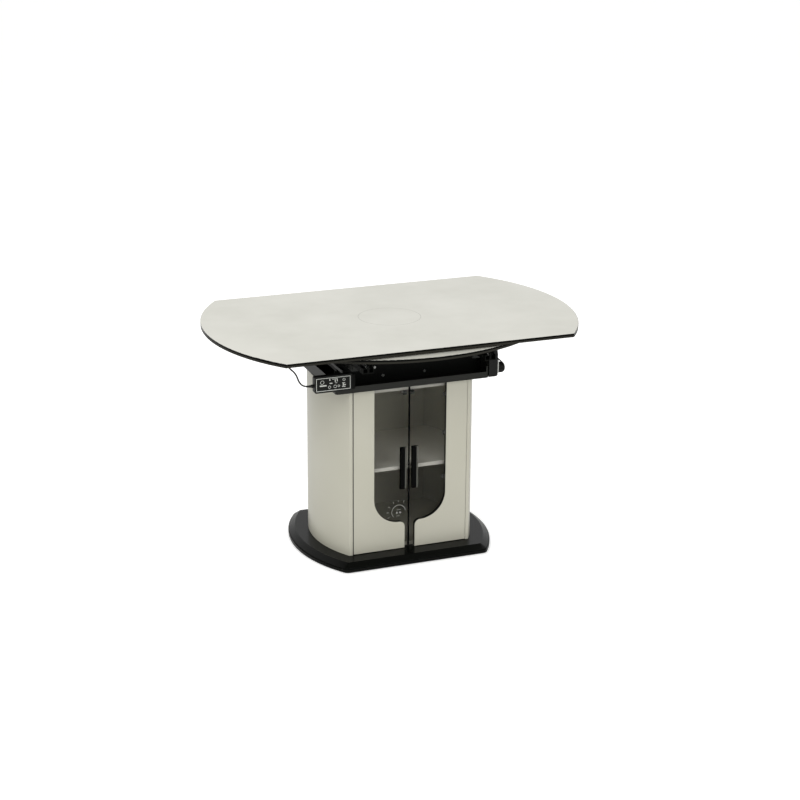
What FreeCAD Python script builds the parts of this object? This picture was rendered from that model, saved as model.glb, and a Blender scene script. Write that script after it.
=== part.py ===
import FreeCAD, Part
import Sketcher
import math
import os
from types import SimpleNamespace

# Folding pedestal table with an induction hob under its glass top.
# The origin is the centre of the floor area, X runs along the table, Y to its back, Z up.
# The front is at negative Y. All sizes are in millimetres.

SIZES = {
    # table top
    "top_length": 1200,
    "top_width": 750,
    "top_height": 750,
    "top_glass_thickness": 6,
    "top_board_thickness": 6,
    "glass_edge_round": 1.5,
    # leaves stored under the top
    "leaf_web_gap": 30.5,
    "leaf_glass_thickness": 6,
    "leaf_board_thickness": 6,
    "leaf_top_gap": 4.5,
    # plinth and feet
    "base_length": 650,
    "base_front_length": 479,
    "base_width": 522,
    "base_height": 29,
    "base_band_height": 10,
    "base_step": 3,
    "base_bevel_width": 19,
    "base_bevel_drop": 13,
    "base_corner_round": 22,
    "foot_height": 3,
    "foot_radius": 16,
    "foot_inset": 70,
    # cabinet shell
    "cabinet_length": 521,
    "cabinet_front_length": 410,
    "cabinet_depth": 378,
    "side_thickness": 9,
    "side_edge_round": 3.5,
    "back_thickness": 12,
    "floor_thickness": 12,
    "lid_thickness": 27,
    "lid_front_setback": 24,
    "shelf_thickness": 12,
    "shelf_top": 301.5,
    "shelf_front_setback": 29,
    "board_gap": 0.3,
    "pin_radius": 2.5,
    "pin_length": 14,
    "pin_depth": 5,
    "pin_place": 105,
    "stile_thickness": 16,
    "stile_width": 58,
    # doors
    "door_thickness": 18,
    "door_side_gap": 1.1,
    "door_end_gap": 2,
    "door_glass_thickness": 4,
    "door_glass_seam": 4,
    "window_half_width": 122,
    "window_bowl_radius": 86,
    "window_bowl_rise": 91,
    "neck_half_width": 17.4,
    "neck_round_radius": 18,
    "glass_lap": 7.5,
    "glass_fit": 0.3,
    "handle_width": 22,
    "handle_length": 140,
    "handle_bottom": 230.5,
    "handle_depth": 10,
    "handle_round": 7,
    "handle_seam_distance": 8.5,
    "handle_screw_inset": 18,
    "handle_screw_radius": 2,
    "handle_screw_bite": 6,
    "screw_nut_radius": 5,
    "screw_nut_height": 2.5,
    "clip_radius": 9,
    "clip_thickness": 3,
    "clip_offset": 3,
    "clip_upper_drop": 51,
    "clip_middle_height": 400,
    "clip_lower_height": 250,
    "hinge_cup_radius": 17.5,
    "hinge_cup_depth": 11,
    "hinge_cup_edge": 22.5,
    "hinge_flange_thickness": 1,
    "hinge_flange_length": 50,
    "hinge_flange_width": 38,
    "hinge_upper_drop": 71,
    "hinge_lower_height": 110,
    "hinge_arm_thickness": 14,
    "hinge_arm_height": 14,
    "hinge_arm_length": 50,
    "hinge_arm_gap": 0.3,
    "hinge_plate_thickness": 2.5,
    "hinge_plate_height": 40,
    "hinge_plate_length": 34,
    "catch_length": 44,
    "catch_depth": 14,
    "catch_height": 12,
    "catch_gap": 1,
    "strike_size": 14,
    "strike_thickness": 1.5,
    "strike_distance": 12,
    # under-frame tray
    "frame_height": 155,
    "tray_length": 508,
    "tray_left_extra": 4.5,
    "tray_width": 434,
    "tray_side_height": 38,
    "tray_front_height": 20,
    "tray_thickness": 2,
    "tray_corner_round": 9,
    "upstand_rise": 24,
    "upstand_length": 98,
    # upper frame that carries the top
    "web_distance": 150,
    "web_thickness": 2.5,
    "web_flange": 22,
    "cheek_distance": 243,
    "cheek_thickness": 3,
    "cheek_overhang": 25.5,
    "cheek_height": 90,
    "cheek_flange": 28,
    "web_side_gap": 0.5,
    "screw_radius": 3,
    "screw_head_radius": 5.5,
    "screw_head_height": 3,
    "low_screw_rise": 25,
    "low_screw_left_place": 79.5,
    "low_screw_right_place": 60.5,
    "high_screw_outer_rise": 59.5,
    "high_screw_inner_rise": 54.5,
    "high_screw_outer_place": 146.5,
    "high_screw_inner_place": 108.5,
    "top_screw_place": 140,
    "top_screw_bite": 4.5,
    "tray_screw_place": 150,
    "tray_screw_depth": 110,
    "tray_screw_bite": 16,
    # slide rails
    "rail_length": 400,
    "rail_front": 236,
    "rail_width": 27,
    "rail_height": 18,
    "rail_rise": 76,
    "rail_thickness": 2,
    "rail_lip": 7,
    "front_rail_distance": 200,
    "rear_rail_distance": 160,
    "rail_window_gap": 3,
    "rail_bracket_height": 14,
    "rail_bracket_depth": 24,
    "guide_thickness": 3,
    "guide_height": 9,
    "guide_drop": 2,
    "runner_gap": 0.4,
    "runner_neck_width": 8,
    "runner_rise": 3,
    "runner_reach": 2,
    "runner_length": 380,
    # leaf carriage and lift units
    "crossbar_length": 460,
    "crossbar_width": 40,
    "crossbar_thickness": 3,
    "lift_distance": 200,
    "lift_length": 150,
    "lift_start": 195,
    "lower_bracket_width": 36,
    "upper_bracket_width": 26,
    "bracket_thickness": 2.5,
    "lower_ear_height": 17,
    "upper_ear_height": 15.5,
    "link_thickness": 1.9,
    "link_length": 62,
    "link_height": 11,
    "link_pin_radius": 2.5,
    "link_pin_clearance": 0.1,
    "link_gap": 0.3,
    "lower_pin_rise": 10,
    "upper_pin_drop": 12,
    "front_pin_place": 325,
    "rear_pin_place": 265,
    "spring_wire": 1.2,
    "spring_coil_radius": 3.8,
    "spring_tail": 3,
    "spring_lead": 4,
    "spring_post_width": 6,
    "spring_post_thickness": 3,
    "spring_post_inset": 0.5,
    # hob under the centre of the top
    "hob_length": 250,
    "hob_depth": 61,
    "hob_wall": 2.5,
    "hob_flange": 12,
    "hob_flange_thickness": 3,
    "hob_opening_radius": 116,
    "vent_width": 5,
    "vent_length": 70,
    "vent_pitch": 12,
    "vent_start": 25,
    "vent_first_place": 12,
    "fan_inlet_radius": 35,
    "former_radius": 108,
    "former_thickness": 3,
    "former_rise": 1,
    "post_radius": 5,
    "post_place": 93,
    "ferrite_turn": 22.5,
    "coil_outer_radius": 100,
    "coil_inner_radius": 32,
    "coil_thickness": 4,
    "ferrite_length": 55,
    "ferrite_width": 14,
    "ferrite_thickness": 5,
    "ferrite_start": 36,
    "circuit_length": 190,
    "circuit_width": 88,
    "circuit_thickness": 1.6,
    "circuit_height": 12,
    "circuit_place": 62,
    "circuit_post_radius": 4,
    "circuit_post_inset": 8,
    "heat_sink_length": 60,
    "heat_sink_width": 40,
    "heat_sink_height": 22,
    "fan_place": 55,
    "fan_size": 80,
    "fan_height": 15,
    "fan_bore_radius": 37,
    "fan_motor_radius": 11,
    "fan_motor_height": 3,
    "fan_shaft_radius": 1.5,
    "fan_shaft_clearance": 0.05,
    "fan_hub_radius": 14,
    "fan_hub_wall": 2,
    "fan_blade_radius": 35,
    "fan_blade_thickness": 1.4,
    "fan_blade_height": 10,
    "fan_lift": 0.5,
    "fan_strut_width": 5,
    # control box on the frame's front left
    "control_length": 121,
    "control_height": 52,
    "control_depth": 20,
    "control_left": 335,
    "control_rise": 19,
    "control_gap": 2.5,
    "control_round": 6,
    "control_fascia_border": 5,
    "control_fascia_thickness": 2,
    "control_bracket_width": 43,
    "control_bracket_right": 196,
    "control_bracket_rise": 15,
    "control_bracket_height": 46,
    "control_bracket_round": 2,
    # slide lock at the frame's right end
    "lock_width": 30,
    "lock_depth": 42,
    "lock_rise": 1.5,
    "lock_height": 74.5,
    "lock_round": 7,
    "hood_start_drop": 13,
    "hood_reach": 19,
    "hood_drop": 18,
    "hood_thickness": 3,
    "hood_width": 34,
    "lock_plate_overhang": 18,
    "lock_plate_thickness": 3,
    "lock_plate_height": 57,
    "lock_plate_lap": 6,
    "lock_plate_taper": 7,
    "washer_height": 37.5,
    "washer_axis_rise": 9,
    "washer_thickness": 3,
    "lock_axis_rise": 22.5,
    "lock_axis_setback": 21,
    "knob_radius": 17,
    "knob_length": 26,
    "knob_round": 8,
    "knob_gap": 0.4,
    "knob_stem_radius": 4,
    "knob_stem_length": 14,
    "knob_stem_clearance": 0.08,
    # control cord
    "cord_diameter": 5,
    "gland_radius": 5.5,
    "gland_length": 7,
    "cord_bore_gap": 0.5,
    "grommet_lip": 2.5,
    "cord_clip_width": 10,
    "cord_clip_wall": 2,
    "cord_clip_place": 347,
    "cord_exit_setback": 230,
    "cord_exit_rise": 22.5,
    "cord_entry_place": 100,
    "cord_entry_drop": 33,
    "cord_clip_drop": 9,
    # shared
    "cut_overrun": 5,
}

DOC = FreeCAD.newDocument("FoldingTable")
NODES = []


class Size:
    """A length with its number and the sheet expression that gives it."""

    def __init__(self, text, number):
        self.text = text
        self.number = float(number)

    def __add__(self, other):
        other = sized(other)
        return Size(f"({self.text} + {other.text})", self.number + other.number)

    def __sub__(self, other):
        other = sized(other)
        return Size(f"({self.text} - {other.text})", self.number - other.number)

    def __mul__(self, other):
        other = sized(other)
        return Size(f"({self.text} * {other.text})", self.number * other.number)

    def __truediv__(self, other):
        other = sized(other)
        return Size(f"({self.text} / {other.text})", self.number / other.number)

    def __neg__(self):
        return Size(f"(0 - {self.text})", -self.number)


def sized(value):
    """Give a plain share or count the form of a size."""
    return value if isinstance(value, Size) else Size(f"({value})", value)


def root(value):
    """Square root of a size product."""
    return Size(f"sqrt({value.text})", math.sqrt(value.number))


def make_sheet():
    """Put every driving size into the spreadsheet under its alias."""
    sheet = DOC.addObject("Spreadsheet::Sheet", "Sizes")
    for row, (alias, number) in enumerate(SIZES.items(), start=1):
        sheet.set(f"A{row}", alias)
        sheet.set(f"B{row}", str(number))
        sheet.setAlias(f"B{row}", alias)
    DOC.recompute()
    names = {alias: Size(f"Sizes.{alias}", sheet.get(alias)) for alias in SIZES}
    return SimpleNamespace(**names)


S = make_sheet()
ZERO = Size("0", 0)


def bind(thing, **sizes):
    """Tie properties of an object to the sheet."""
    for name, size in sizes.items():
        thing.setExpression(name, size.text)


def put(thing, x, y, z):
    """Tie an object's place to the sheet."""
    thing.setExpression("Placement.Base.x", x.text)
    thing.setExpression("Placement.Base.y", y.text)
    thing.setExpression("Placement.Base.z", z.text)
    return thing


def middle(length):
    """Range of a length centred on zero."""
    return (-(length / 2), length / 2)


def span(start, length):
    """Range that starts at a place and has a length."""
    return (start, start + length)


def sided(side, near, far):
    """Range from near to far on the right side, or its mirror on the left."""
    return (near, far) if side > 0 else (-far, -near)


def box(name, x, y, z):
    """Box between two places on each axis."""
    made = DOC.addObject("Part::Box", name)
    bind(made, Length=x[1] - x[0], Width=y[1] - y[0], Height=z[1] - z[0])
    return put(made, x[0], y[0], z[0])


TURNS = {
    "x": FreeCAD.Rotation(FreeCAD.Vector(0, 1, 0), 90),
    "y": FreeCAD.Rotation(FreeCAD.Vector(1, 0, 0), -90),
    "z": FreeCAD.Rotation(),
}


def rod(name, radius, axis, x, y, z):
    """Cylinder along one axis, whose range there is a pair and whose other two places are single."""
    reach = {"x": x, "y": y, "z": z}[axis]
    made = DOC.addObject("Part::Cylinder", name)
    made.Placement = FreeCAD.Placement(FreeCAD.Vector(), TURNS[axis])
    bind(made, Radius=radius, Height=reach[1] - reach[0])
    starts = [place[0] if isinstance(place, tuple) else place for place in (x, y, z)]
    return put(made, *starts)


def gather(name, pieces):
    """Separate solids kept together."""
    made = DOC.addObject("Part::Compound", name)
    made.Links = pieces
    return made


def fuse(name, pieces):
    """Solids joined to one."""
    made = DOC.addObject("Part::MultiFuse", name)
    made.Shapes = pieces
    return made


def common(name, pieces):
    """Space that all the solids share."""
    made = DOC.addObject("Part::MultiCommon", name)
    made.Shapes = pieces
    return made


def cut(name, base, tools):
    """A solid less its tools."""
    made = DOC.addObject("Part::Cut", name)
    made.Base = base
    made.Tool = tools[0] if len(tools) == 1 else fuse(f"{name}Tools", tools)
    return made


def finish_edges(kind, name, base, first, second, chosen):
    """Round or bevel the edges of a solid that a test picks."""
    DOC.recompute()
    made = DOC.addObject(kind, name)
    made.Base = base
    made.Edges = [
        (number, first.number, second.number)
        for number, edge in enumerate(base.Shape.Edges, start=1)
        if chosen(edge)
    ]
    return made


def rounded(name, base, radius, chosen):
    """Round the chosen edges."""
    return finish_edges("Part::Fillet", name, base, radius, radius, chosen)


def upright(edge):
    """Edge that stands along Z."""
    low, high = edge.BoundBox.ZMin, edge.BoundBox.ZMax
    return edge.BoundBox.XLength + edge.BoundBox.YLength < (high - low) * STRAIGHT_SHARE


def level_at(height):
    """Test for edges that lie at one height."""
    def chosen(edge):
        box_of = edge.BoundBox
        flat = box_of.ZLength < box_of.DiagonalLength * STRAIGHT_SHARE
        return flat and abs(box_of.ZMin - height.number) < SAME_PLACE
    return chosen


def origin_plane(body, role):
    """One of a body's own base planes."""
    return next(plane for plane in body.Origin.OriginFeatures if plane.Role == role)


def bend_point(first, last, radius, side):
    """Middle point of the short arc from first to last, bulging to the left (1) or right (-1)."""
    chord = last - first
    half = chord.Length / 2
    rise = radius - math.sqrt(max(radius * radius - half * half, 0))
    across = FreeCAD.Vector(-chord.y, chord.x, 0).normalize()
    return (first + last) / 2 + across * (rise * side)


def profile(name, role, points, length):
    """Body padded from a closed outline. A point may carry the radius and side of the arc after it."""
    body = DOC.addObject("PartDesign::Body", name)
    sketch = body.newObject("Sketcher::SketchObject", f"{name}Outline")
    sketch.AttachmentSupport = (origin_plane(body, role), [""])
    sketch.MapMode = "FlatFace"
    corners = [FreeCAD.Vector(point[0].number, point[1].number, 0) for point in points]
    count = len(points)
    for index, point in enumerate(points):
        start, end = corners[index], corners[(index + 1) % count]
        if len(point) == 2:
            sketch.addGeometry(Part.LineSegment(start, end), False)
        else:
            across = bend_point(start, end, point[2].number, point[3])
            sketch.addGeometry(Part.Arc(start, across, end), False)
    ends = []
    for point in points:
        clockwise = len(point) == 4 and point[3] > 0
        ends.append((2, 1) if clockwise else (1, 2))
    for index in range(count):
        after = (index + 1) % count
        joint = Sketcher.Constraint("Coincident", index, ends[index][1], after, ends[after][0])
        sketch.addConstraint(joint)
    for index, point in enumerate(points):
        for kind, size in (("DistanceX", point[0]), ("DistanceY", point[1])):
            if size is ZERO:
                axis = -2 if kind == "DistanceX" else -1
                sketch.addConstraint(Sketcher.Constraint("PointOnObject", index, ends[index][0], axis))
                continue
            hold = Sketcher.Constraint(kind, -1, 1, index, ends[index][0], size.number)
            number = sketch.addConstraint(hold)
            sketch.setExpression(f"Constraints[{number}]", size.text)
        if len(point) == 4:
            number = sketch.addConstraint(Sketcher.Constraint("Radius", index, point[2].number))
            sketch.setExpression(f"Constraints[{number}]", point[2].text)
    pad = body.newObject("PartDesign::Pad", f"{name}Pad")
    pad.Profile = sketch
    bind(pad, Length=length)
    return body


def node(made, label):
    """Make an object a sub-part with its own name."""
    made.Label = label
    NODES.append(made)
    return made


def mirrored(side, size):
    """A place on the right side, or its mirror on the left."""
    return size if side > 0 else -size


def bulged(name, radius, centre, half_length, y, z):
    """Board with straight front and back and ends that bulge outwards."""
    slab = box(f"{name}Slab", (-half_length, half_length), y, z)
    left_end = rod(f"{name}LeftEnd", radius, "z", centre, ZERO, z)
    right_end = rod(f"{name}RightEnd", radius, "z", -centre, ZERO, z)
    return common(name, [slab, left_end, right_end])


def end_radius(length, front_length, width):
    """Radius of a bulging end from its tip and its two corners."""
    rise = (length - front_length) / 2
    half = width / 2
    return (half * half + rise * rise) / (rise * 2)


BOARD_TOP = S.top_height - S.top_glass_thickness
BOARD_BOTTOM = BOARD_TOP - S.top_board_thickness
TOP_RADIUS = S.top_length / 2
TOP_EDGE = S.top_width / 2
LEAF_TOP = BOARD_BOTTOM - S.leaf_top_gap
LEAF_GLASS_BOTTOM = LEAF_TOP - S.leaf_glass_thickness
LEAF_BOTTOM = LEAF_GLASS_BOTTOM - S.leaf_board_thickness
TRAY_BOTTOM = BOARD_BOTTOM - S.frame_height
TRAY_FLOOR = TRAY_BOTTOM + S.tray_thickness
CABINET_RADIUS = end_radius(S.cabinet_length, S.cabinet_front_length, S.cabinet_depth)
CABINET_CENTRE = CABINET_RADIUS - S.cabinet_length / 2
CABINET_FRONT = -(S.cabinet_depth / 2)
CABINET_BACK = S.cabinet_depth / 2
INNER_RADIUS = CABINET_RADIUS - S.side_thickness
CORNER_INSIDE = root(INNER_RADIUS * INNER_RADIUS - CABINET_BACK * CABINET_BACK) - CABINET_CENTRE
DOOR_OUTER = CORNER_INSIDE - S.door_side_gap
DOOR_BACK = CABINET_FRONT + S.door_thickness
DOOR_LOW = S.base_height + S.door_end_gap
DOOR_HIGH = TRAY_BOTTOM - S.door_end_gap
GLASS_FRONT = DOOR_BACK - S.door_glass_thickness
BACK_INSIDE = CABINET_BACK - S.back_thickness
FLOOR_TOP = S.base_height + S.floor_thickness
LID_BOTTOM = TRAY_BOTTOM - S.lid_thickness
LID_FRONT = CABINET_FRONT + S.lid_front_setback
STILE_FRONT = LID_FRONT - S.door_end_gap
BOWL_BOTTOM = DOOR_LOW + S.window_bowl_rise
HINGE_UPPER_HEIGHT = DOOR_HIGH - S.hinge_upper_drop
CLIP_UPPER_HEIGHT = DOOR_HIGH - S.clip_upper_drop
WEB_OUTSIDE = S.web_distance + S.web_thickness
WEB_SHOULDER = TRAY_BOTTOM + S.tray_side_height + S.web_side_gap
LEAF_INNER_EDGE = WEB_OUTSIDE + S.leaf_web_gap
LEAF_TUCK = TOP_EDGE - LEAF_INNER_EDGE
CHEEK_BOTTOM = BOARD_BOTTOM - S.cheek_height
CHEEK_REACH = WEB_OUTSIDE + S.cheek_overhang
LOW_SCREW_HEIGHT = TRAY_BOTTOM + S.low_screw_rise
HIGH_SCREW_OUTER_HEIGHT = TRAY_BOTTOM + S.high_screw_outer_rise
HIGH_SCREW_INNER_HEIGHT = TRAY_BOTTOM + S.high_screw_inner_rise
RAIL_BOTTOM = TRAY_BOTTOM + S.rail_rise
CROSSBAR_BOTTOM = RAIL_BOTTOM + S.rail_height + S.runner_rise
CROSSBAR_TOP = CROSSBAR_BOTTOM + S.crossbar_thickness
LOWER_PIN_HEIGHT = CROSSBAR_TOP + S.lower_pin_rise
UPPER_PIN_HEIGHT = LEAF_BOTTOM - S.upper_pin_drop
LINK_RISE = UPPER_PIN_HEIGHT - LOWER_PIN_HEIGHT
LINK_RUN = root(S.link_length * S.link_length - LINK_RISE * LINK_RISE)
SPRING_HEIGHT = (LOWER_PIN_HEIGHT + UPPER_PIN_HEIGHT) / 2
HOB_BOTTOM = BOARD_BOTTOM - S.hob_depth
HOB_FLOOR = HOB_BOTTOM + S.hob_wall
COIL_TOP = BOARD_TOP - S.former_rise
FORMER_TOP = COIL_TOP - S.coil_thickness
FORMER_BOTTOM = FORMER_TOP - S.former_thickness
CONTROL_BOTTOM = TRAY_BOTTOM + S.control_rise
CONTROL_BACK = -(S.tray_width / 2) - S.control_gap
CONTROL_FRONT = CONTROL_BACK - S.control_depth
LOCK_BOTTOM = TRAY_BOTTOM + S.lock_rise
LOCK_AXIS_HEIGHT = LOCK_BOTTOM + S.lock_axis_rise
LOCK_AXIS_PLACE = -(S.tray_width / 2) + S.lock_axis_setback
CORD_EXIT_HEIGHT = CONTROL_BOTTOM + S.cord_exit_rise
CORD_ENTRY_HEIGHT = BOARD_BOTTOM - S.cord_entry_drop
CORD_CLIP_HEIGHT = BOARD_BOTTOM - S.cord_clip_drop
CORD_BORE = S.cord_diameter / 2 + S.cord_bore_gap
MAINS_PLACE = -S.cord_entry_place + S.hob_length / 10

SPRING_TURNS = 20
FULL_TURN = 360
VENT_COUNT = 6
FERRITE_COUNT = 8
FIN_COUNT = 5
BLADE_COUNT = 7
BLADE_TURN = 40
BLADE_LENGTH_SHARE = 1.2
LINK_ROUND_SHARE = sized(1.15)
GRIP_PLACE_SHARE = 1.1
CORD_ARC_SHARE = 0.45
STRAIGHT_SHARE = 0.001
SAME_PLACE = 0.01
NEARBY = 1


def make_plinth():
    """Black moulded plinth: an upright band, a small step, then a wide bevel up to the flat."""
    radius = end_radius(S.base_length, S.base_front_length, S.base_width)
    centre = radius - S.base_length / 2
    step = S.foot_height + S.base_band_height

    def plinth_corner(edge):
        return upright(edge) and abs(edge.BoundBox.YMin) > S.base_front_length.number / 4

    layers = []
    for name, inset, z in (
        ("PlinthBand", ZERO, (S.foot_height, step)),
        ("PlinthUpper", S.base_step, (step, S.base_height)),
    ):
        half_width = S.base_width / 2 - inset
        reach = S.base_length / 2 + S.cut_overrun
        layer = bulged(name, radius - inset, centre, reach, (-half_width, half_width), z)
        layers.append(rounded(f"{name}Round", layer, S.base_corner_round, plinth_corner))
    bevel = finish_edges("Part::Chamfer", "PlinthBevel", layers[1], S.base_bevel_drop,
                         S.base_bevel_width, level_at(S.base_height))
    node(fuse("Plinth", [layers[0], bevel]), "base_plinth")
    feet = []
    for x_side in (-1, 1):
        for y_side in (-1, 1):
            x = mirrored(x_side, S.base_front_length / 2 - S.foot_inset / 2)
            y = mirrored(y_side, S.base_width / 2 - S.foot_inset)
            feet.append(rod(f"Foot{len(feet)}", S.foot_radius, "z", x, y, (ZERO, S.foot_height)))
    node(gather("Feet", feet), "base_feet")


def pin_rods(name, radius):
    """Four short pins in the curved sides that carry the shelf."""
    height = S.shelf_top - S.shelf_thickness - S.pin_radius
    wall = root(INNER_RADIUS * INNER_RADIUS - S.pin_place * S.pin_place) - CABINET_CENTRE
    pins = []
    for side in (-1, 1):
        for y_side in (-1, 1):
            x = sided(side, wall + S.pin_depth - S.pin_length, wall + S.pin_depth)
            y = mirrored(y_side, S.pin_place)
            pins.append(rod(f"{name}{len(pins)}", radius, "x", x, y, height))
    return pins


def make_cabinet():
    """Curved sides, back, floor, lid, shelf and the two posts that carry the hinges."""
    z = (S.base_height, TRAY_BOTTOM)
    over = S.cut_overrun
    for side, label in ((-1, "left"), (1, "right")):
        centre = mirrored(-side, CABINET_CENTRE)
        outer = rod(f"{label}SideOuter", CABINET_RADIUS, "z", centre, ZERO, z)
        inner = rod(f"{label}SideInner", INNER_RADIUS, "z", centre, ZERO, (z[0] - over, z[1] + over))
        zone_x = sided(side, CORNER_INSIDE - over, S.cabinet_length / 2 + over)
        zone = box(f"{label}SideZone", zone_x, (CABINET_FRONT, CABINET_BACK), z)
        shell = common(f"{label}SideShell", [cut(f"{label}SideRing", outer, [inner]), zone])
        front_edge = S.cabinet_front_length / 2

        def outer_corner(edge, reach=front_edge):
            return upright(edge) and abs(edge.BoundBox.Center.x) > reach.number - NEARBY

        soft = rounded(f"{label}SideRound", shell, S.side_edge_round, outer_corner)
        holes = pin_rods(f"{label}SidePinHole", S.pin_radius)
        node(cut(f"{label}Side", soft, holes), f"{label}_side_panel")
        stile_x = sided(side, CORNER_INSIDE - S.door_side_gap * 2 - S.stile_thickness,
                        CORNER_INSIDE - S.door_side_gap * 2)
        stile_y = span(STILE_FRONT, S.stile_width)
        node(box(f"{label}Stile", stile_x, stile_y, (FLOOR_TOP, LID_BOTTOM)), f"{label}_stile")
    half_back = CORNER_INSIDE - S.board_gap
    node(box("Back", (-half_back, half_back), (BACK_INSIDE, CABINET_BACK), z), "back_panel")
    radius = INNER_RADIUS - S.board_gap
    reach = S.cabinet_length / 2
    floor_board = bulged("Floor", radius, CABINET_CENTRE, reach, (STILE_FRONT, BACK_INSIDE),
                         (S.base_height, FLOOR_TOP))
    node(floor_board, "cabinet_floor")
    lid = bulged("LidBoard", radius, CABINET_CENTRE, reach, (LID_FRONT, BACK_INSIDE),
                 (LID_BOTTOM, TRAY_BOTTOM))
    node(cut("Lid", lid, tray_screws("LidHole")), "cabinet_lid")
    shelf_y = (CABINET_FRONT + S.shelf_front_setback, BACK_INSIDE - S.board_gap)
    shelf_z = (S.shelf_top - S.shelf_thickness, S.shelf_top)
    shelf = bulged("ShelfBoard", radius, CABINET_CENTRE, reach, shelf_y, shelf_z)
    notches = []
    for side in (-1, 1):
        stile_inside = CORNER_INSIDE - S.door_side_gap * 2 - S.stile_thickness - S.board_gap
        notch_y = (shelf_y[0] - over, STILE_FRONT + S.stile_width + S.board_gap)
        notches.append(box(f"ShelfNotch{side + 1}", sided(side, stile_inside, reach), notch_y,
                           (shelf_z[0] - over, shelf_z[1] + over)))
    node(cut("Shelf", shelf, notches), "cabinet_shelf")
    node(gather("ShelfPins", pin_rods("ShelfPin", S.pin_radius)), "shelf_pins")


def tray_screws(name):
    """Six screws that hold the tray down on the cabinet's lid."""
    screws = []
    for column in (-1, 0, 1):
        for y_side in (-1, 1):
            x = S.tray_screw_place * column
            y = mirrored(y_side, S.tray_screw_depth)
            z = (TRAY_BOTTOM - S.tray_screw_bite, TRAY_FLOOR)
            screws.append(rod(f"{name}{len(screws)}", S.screw_radius, "z", x, y, z))
    return screws


def make_hinge_arms():
    """Chrome arms and plates on the posts, behind the hinge cups of the doors."""
    arms = []
    for side in (-1, 1):
        inside = CORNER_INSIDE - S.door_side_gap * 2 - S.stile_thickness
        for height in (S.hinge_lower_height, HINGE_UPPER_HEIGHT):
            name = f"HingeArm{len(arms)}"
            plate_z = (height - S.hinge_plate_height / 2, height + S.hinge_plate_height / 2)
            arm_z = (height - S.hinge_arm_height / 2, height + S.hinge_arm_height / 2)
            face = inside - S.hinge_plate_thickness
            arm_front = DOOR_BACK + S.hinge_flange_thickness + S.hinge_arm_gap
            plate_y = span(STILE_FRONT + S.hinge_plate_length / 2, S.hinge_plate_length)
            plate = box(f"{name}Plate", sided(side, face, inside), plate_y, plate_z)
            arm_x = sided(side, face - S.hinge_arm_thickness, face)
            arm = box(f"{name}Bar", arm_x, span(arm_front, S.hinge_arm_length), arm_z)
            arms.append(fuse(name, [plate, arm]))
    node(gather("HingeArms", arms), "door_hinge_arms")
    catch_z = (LID_BOTTOM - S.catch_height, LID_BOTTOM)
    catch_y = span(DOOR_BACK + S.strike_thickness + S.catch_gap, S.catch_depth)
    node(box("Catch", middle(S.catch_length), catch_y, catch_z), "door_catch")


def window_points(side, lap, inner, low, high):
    """Half of the bowl-and-stem window from the neck round to the top, grown by a lap."""
    flip = 1 if side > 0 else -1
    bowl = S.window_bowl_radius + lap
    bowl_centre = S.window_half_width - S.window_bowl_radius
    bowl_height = BOWL_BOTTOM + S.window_bowl_radius
    neck_round = S.neck_round_radius - lap
    neck_centre = S.neck_half_width + S.neck_round_radius
    neck_height = BOWL_BOTTOM - S.neck_round_radius
    floor = BOWL_BOTTOM - lap
    points = [
        (S.window_half_width + lap, high),
        (S.window_half_width + lap, bowl_height, bowl, flip),
        (bowl_centre, floor),
        (neck_centre, floor, neck_round, -flip),
        (S.neck_half_width + lap, neck_height),
        (S.neck_half_width + lap, low),
        (inner, low),
        (inner, high),
    ]
    return [(mirrored(side, point[0]), *point[1:]) for point in points]


def door_screws(name, side, start):
    """Two screws through the glass into the handle."""
    x = mirrored(side, S.handle_seam_distance + S.handle_width / 2)
    screws = []
    for height in (S.handle_bottom + S.handle_screw_inset,
                   S.handle_bottom + S.handle_length - S.handle_screw_inset):
        screws.append(rod(f"{name}{len(screws)}", S.handle_screw_radius, "y", x, (start, DOOR_BACK), height))
    return screws


def door_cups(name, side):
    """Round hinge cups let into the back of a door."""
    x = mirrored(side, DOOR_OUTER - S.hinge_cup_edge)
    depth = (DOOR_BACK - S.hinge_cup_depth, DOOR_BACK)
    return [
        rod(f"{name}{number}", S.hinge_cup_radius, "y", x, depth, height)
        for number, height in enumerate((S.hinge_lower_height, HINGE_UPPER_HEIGHT))
    ]


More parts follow.
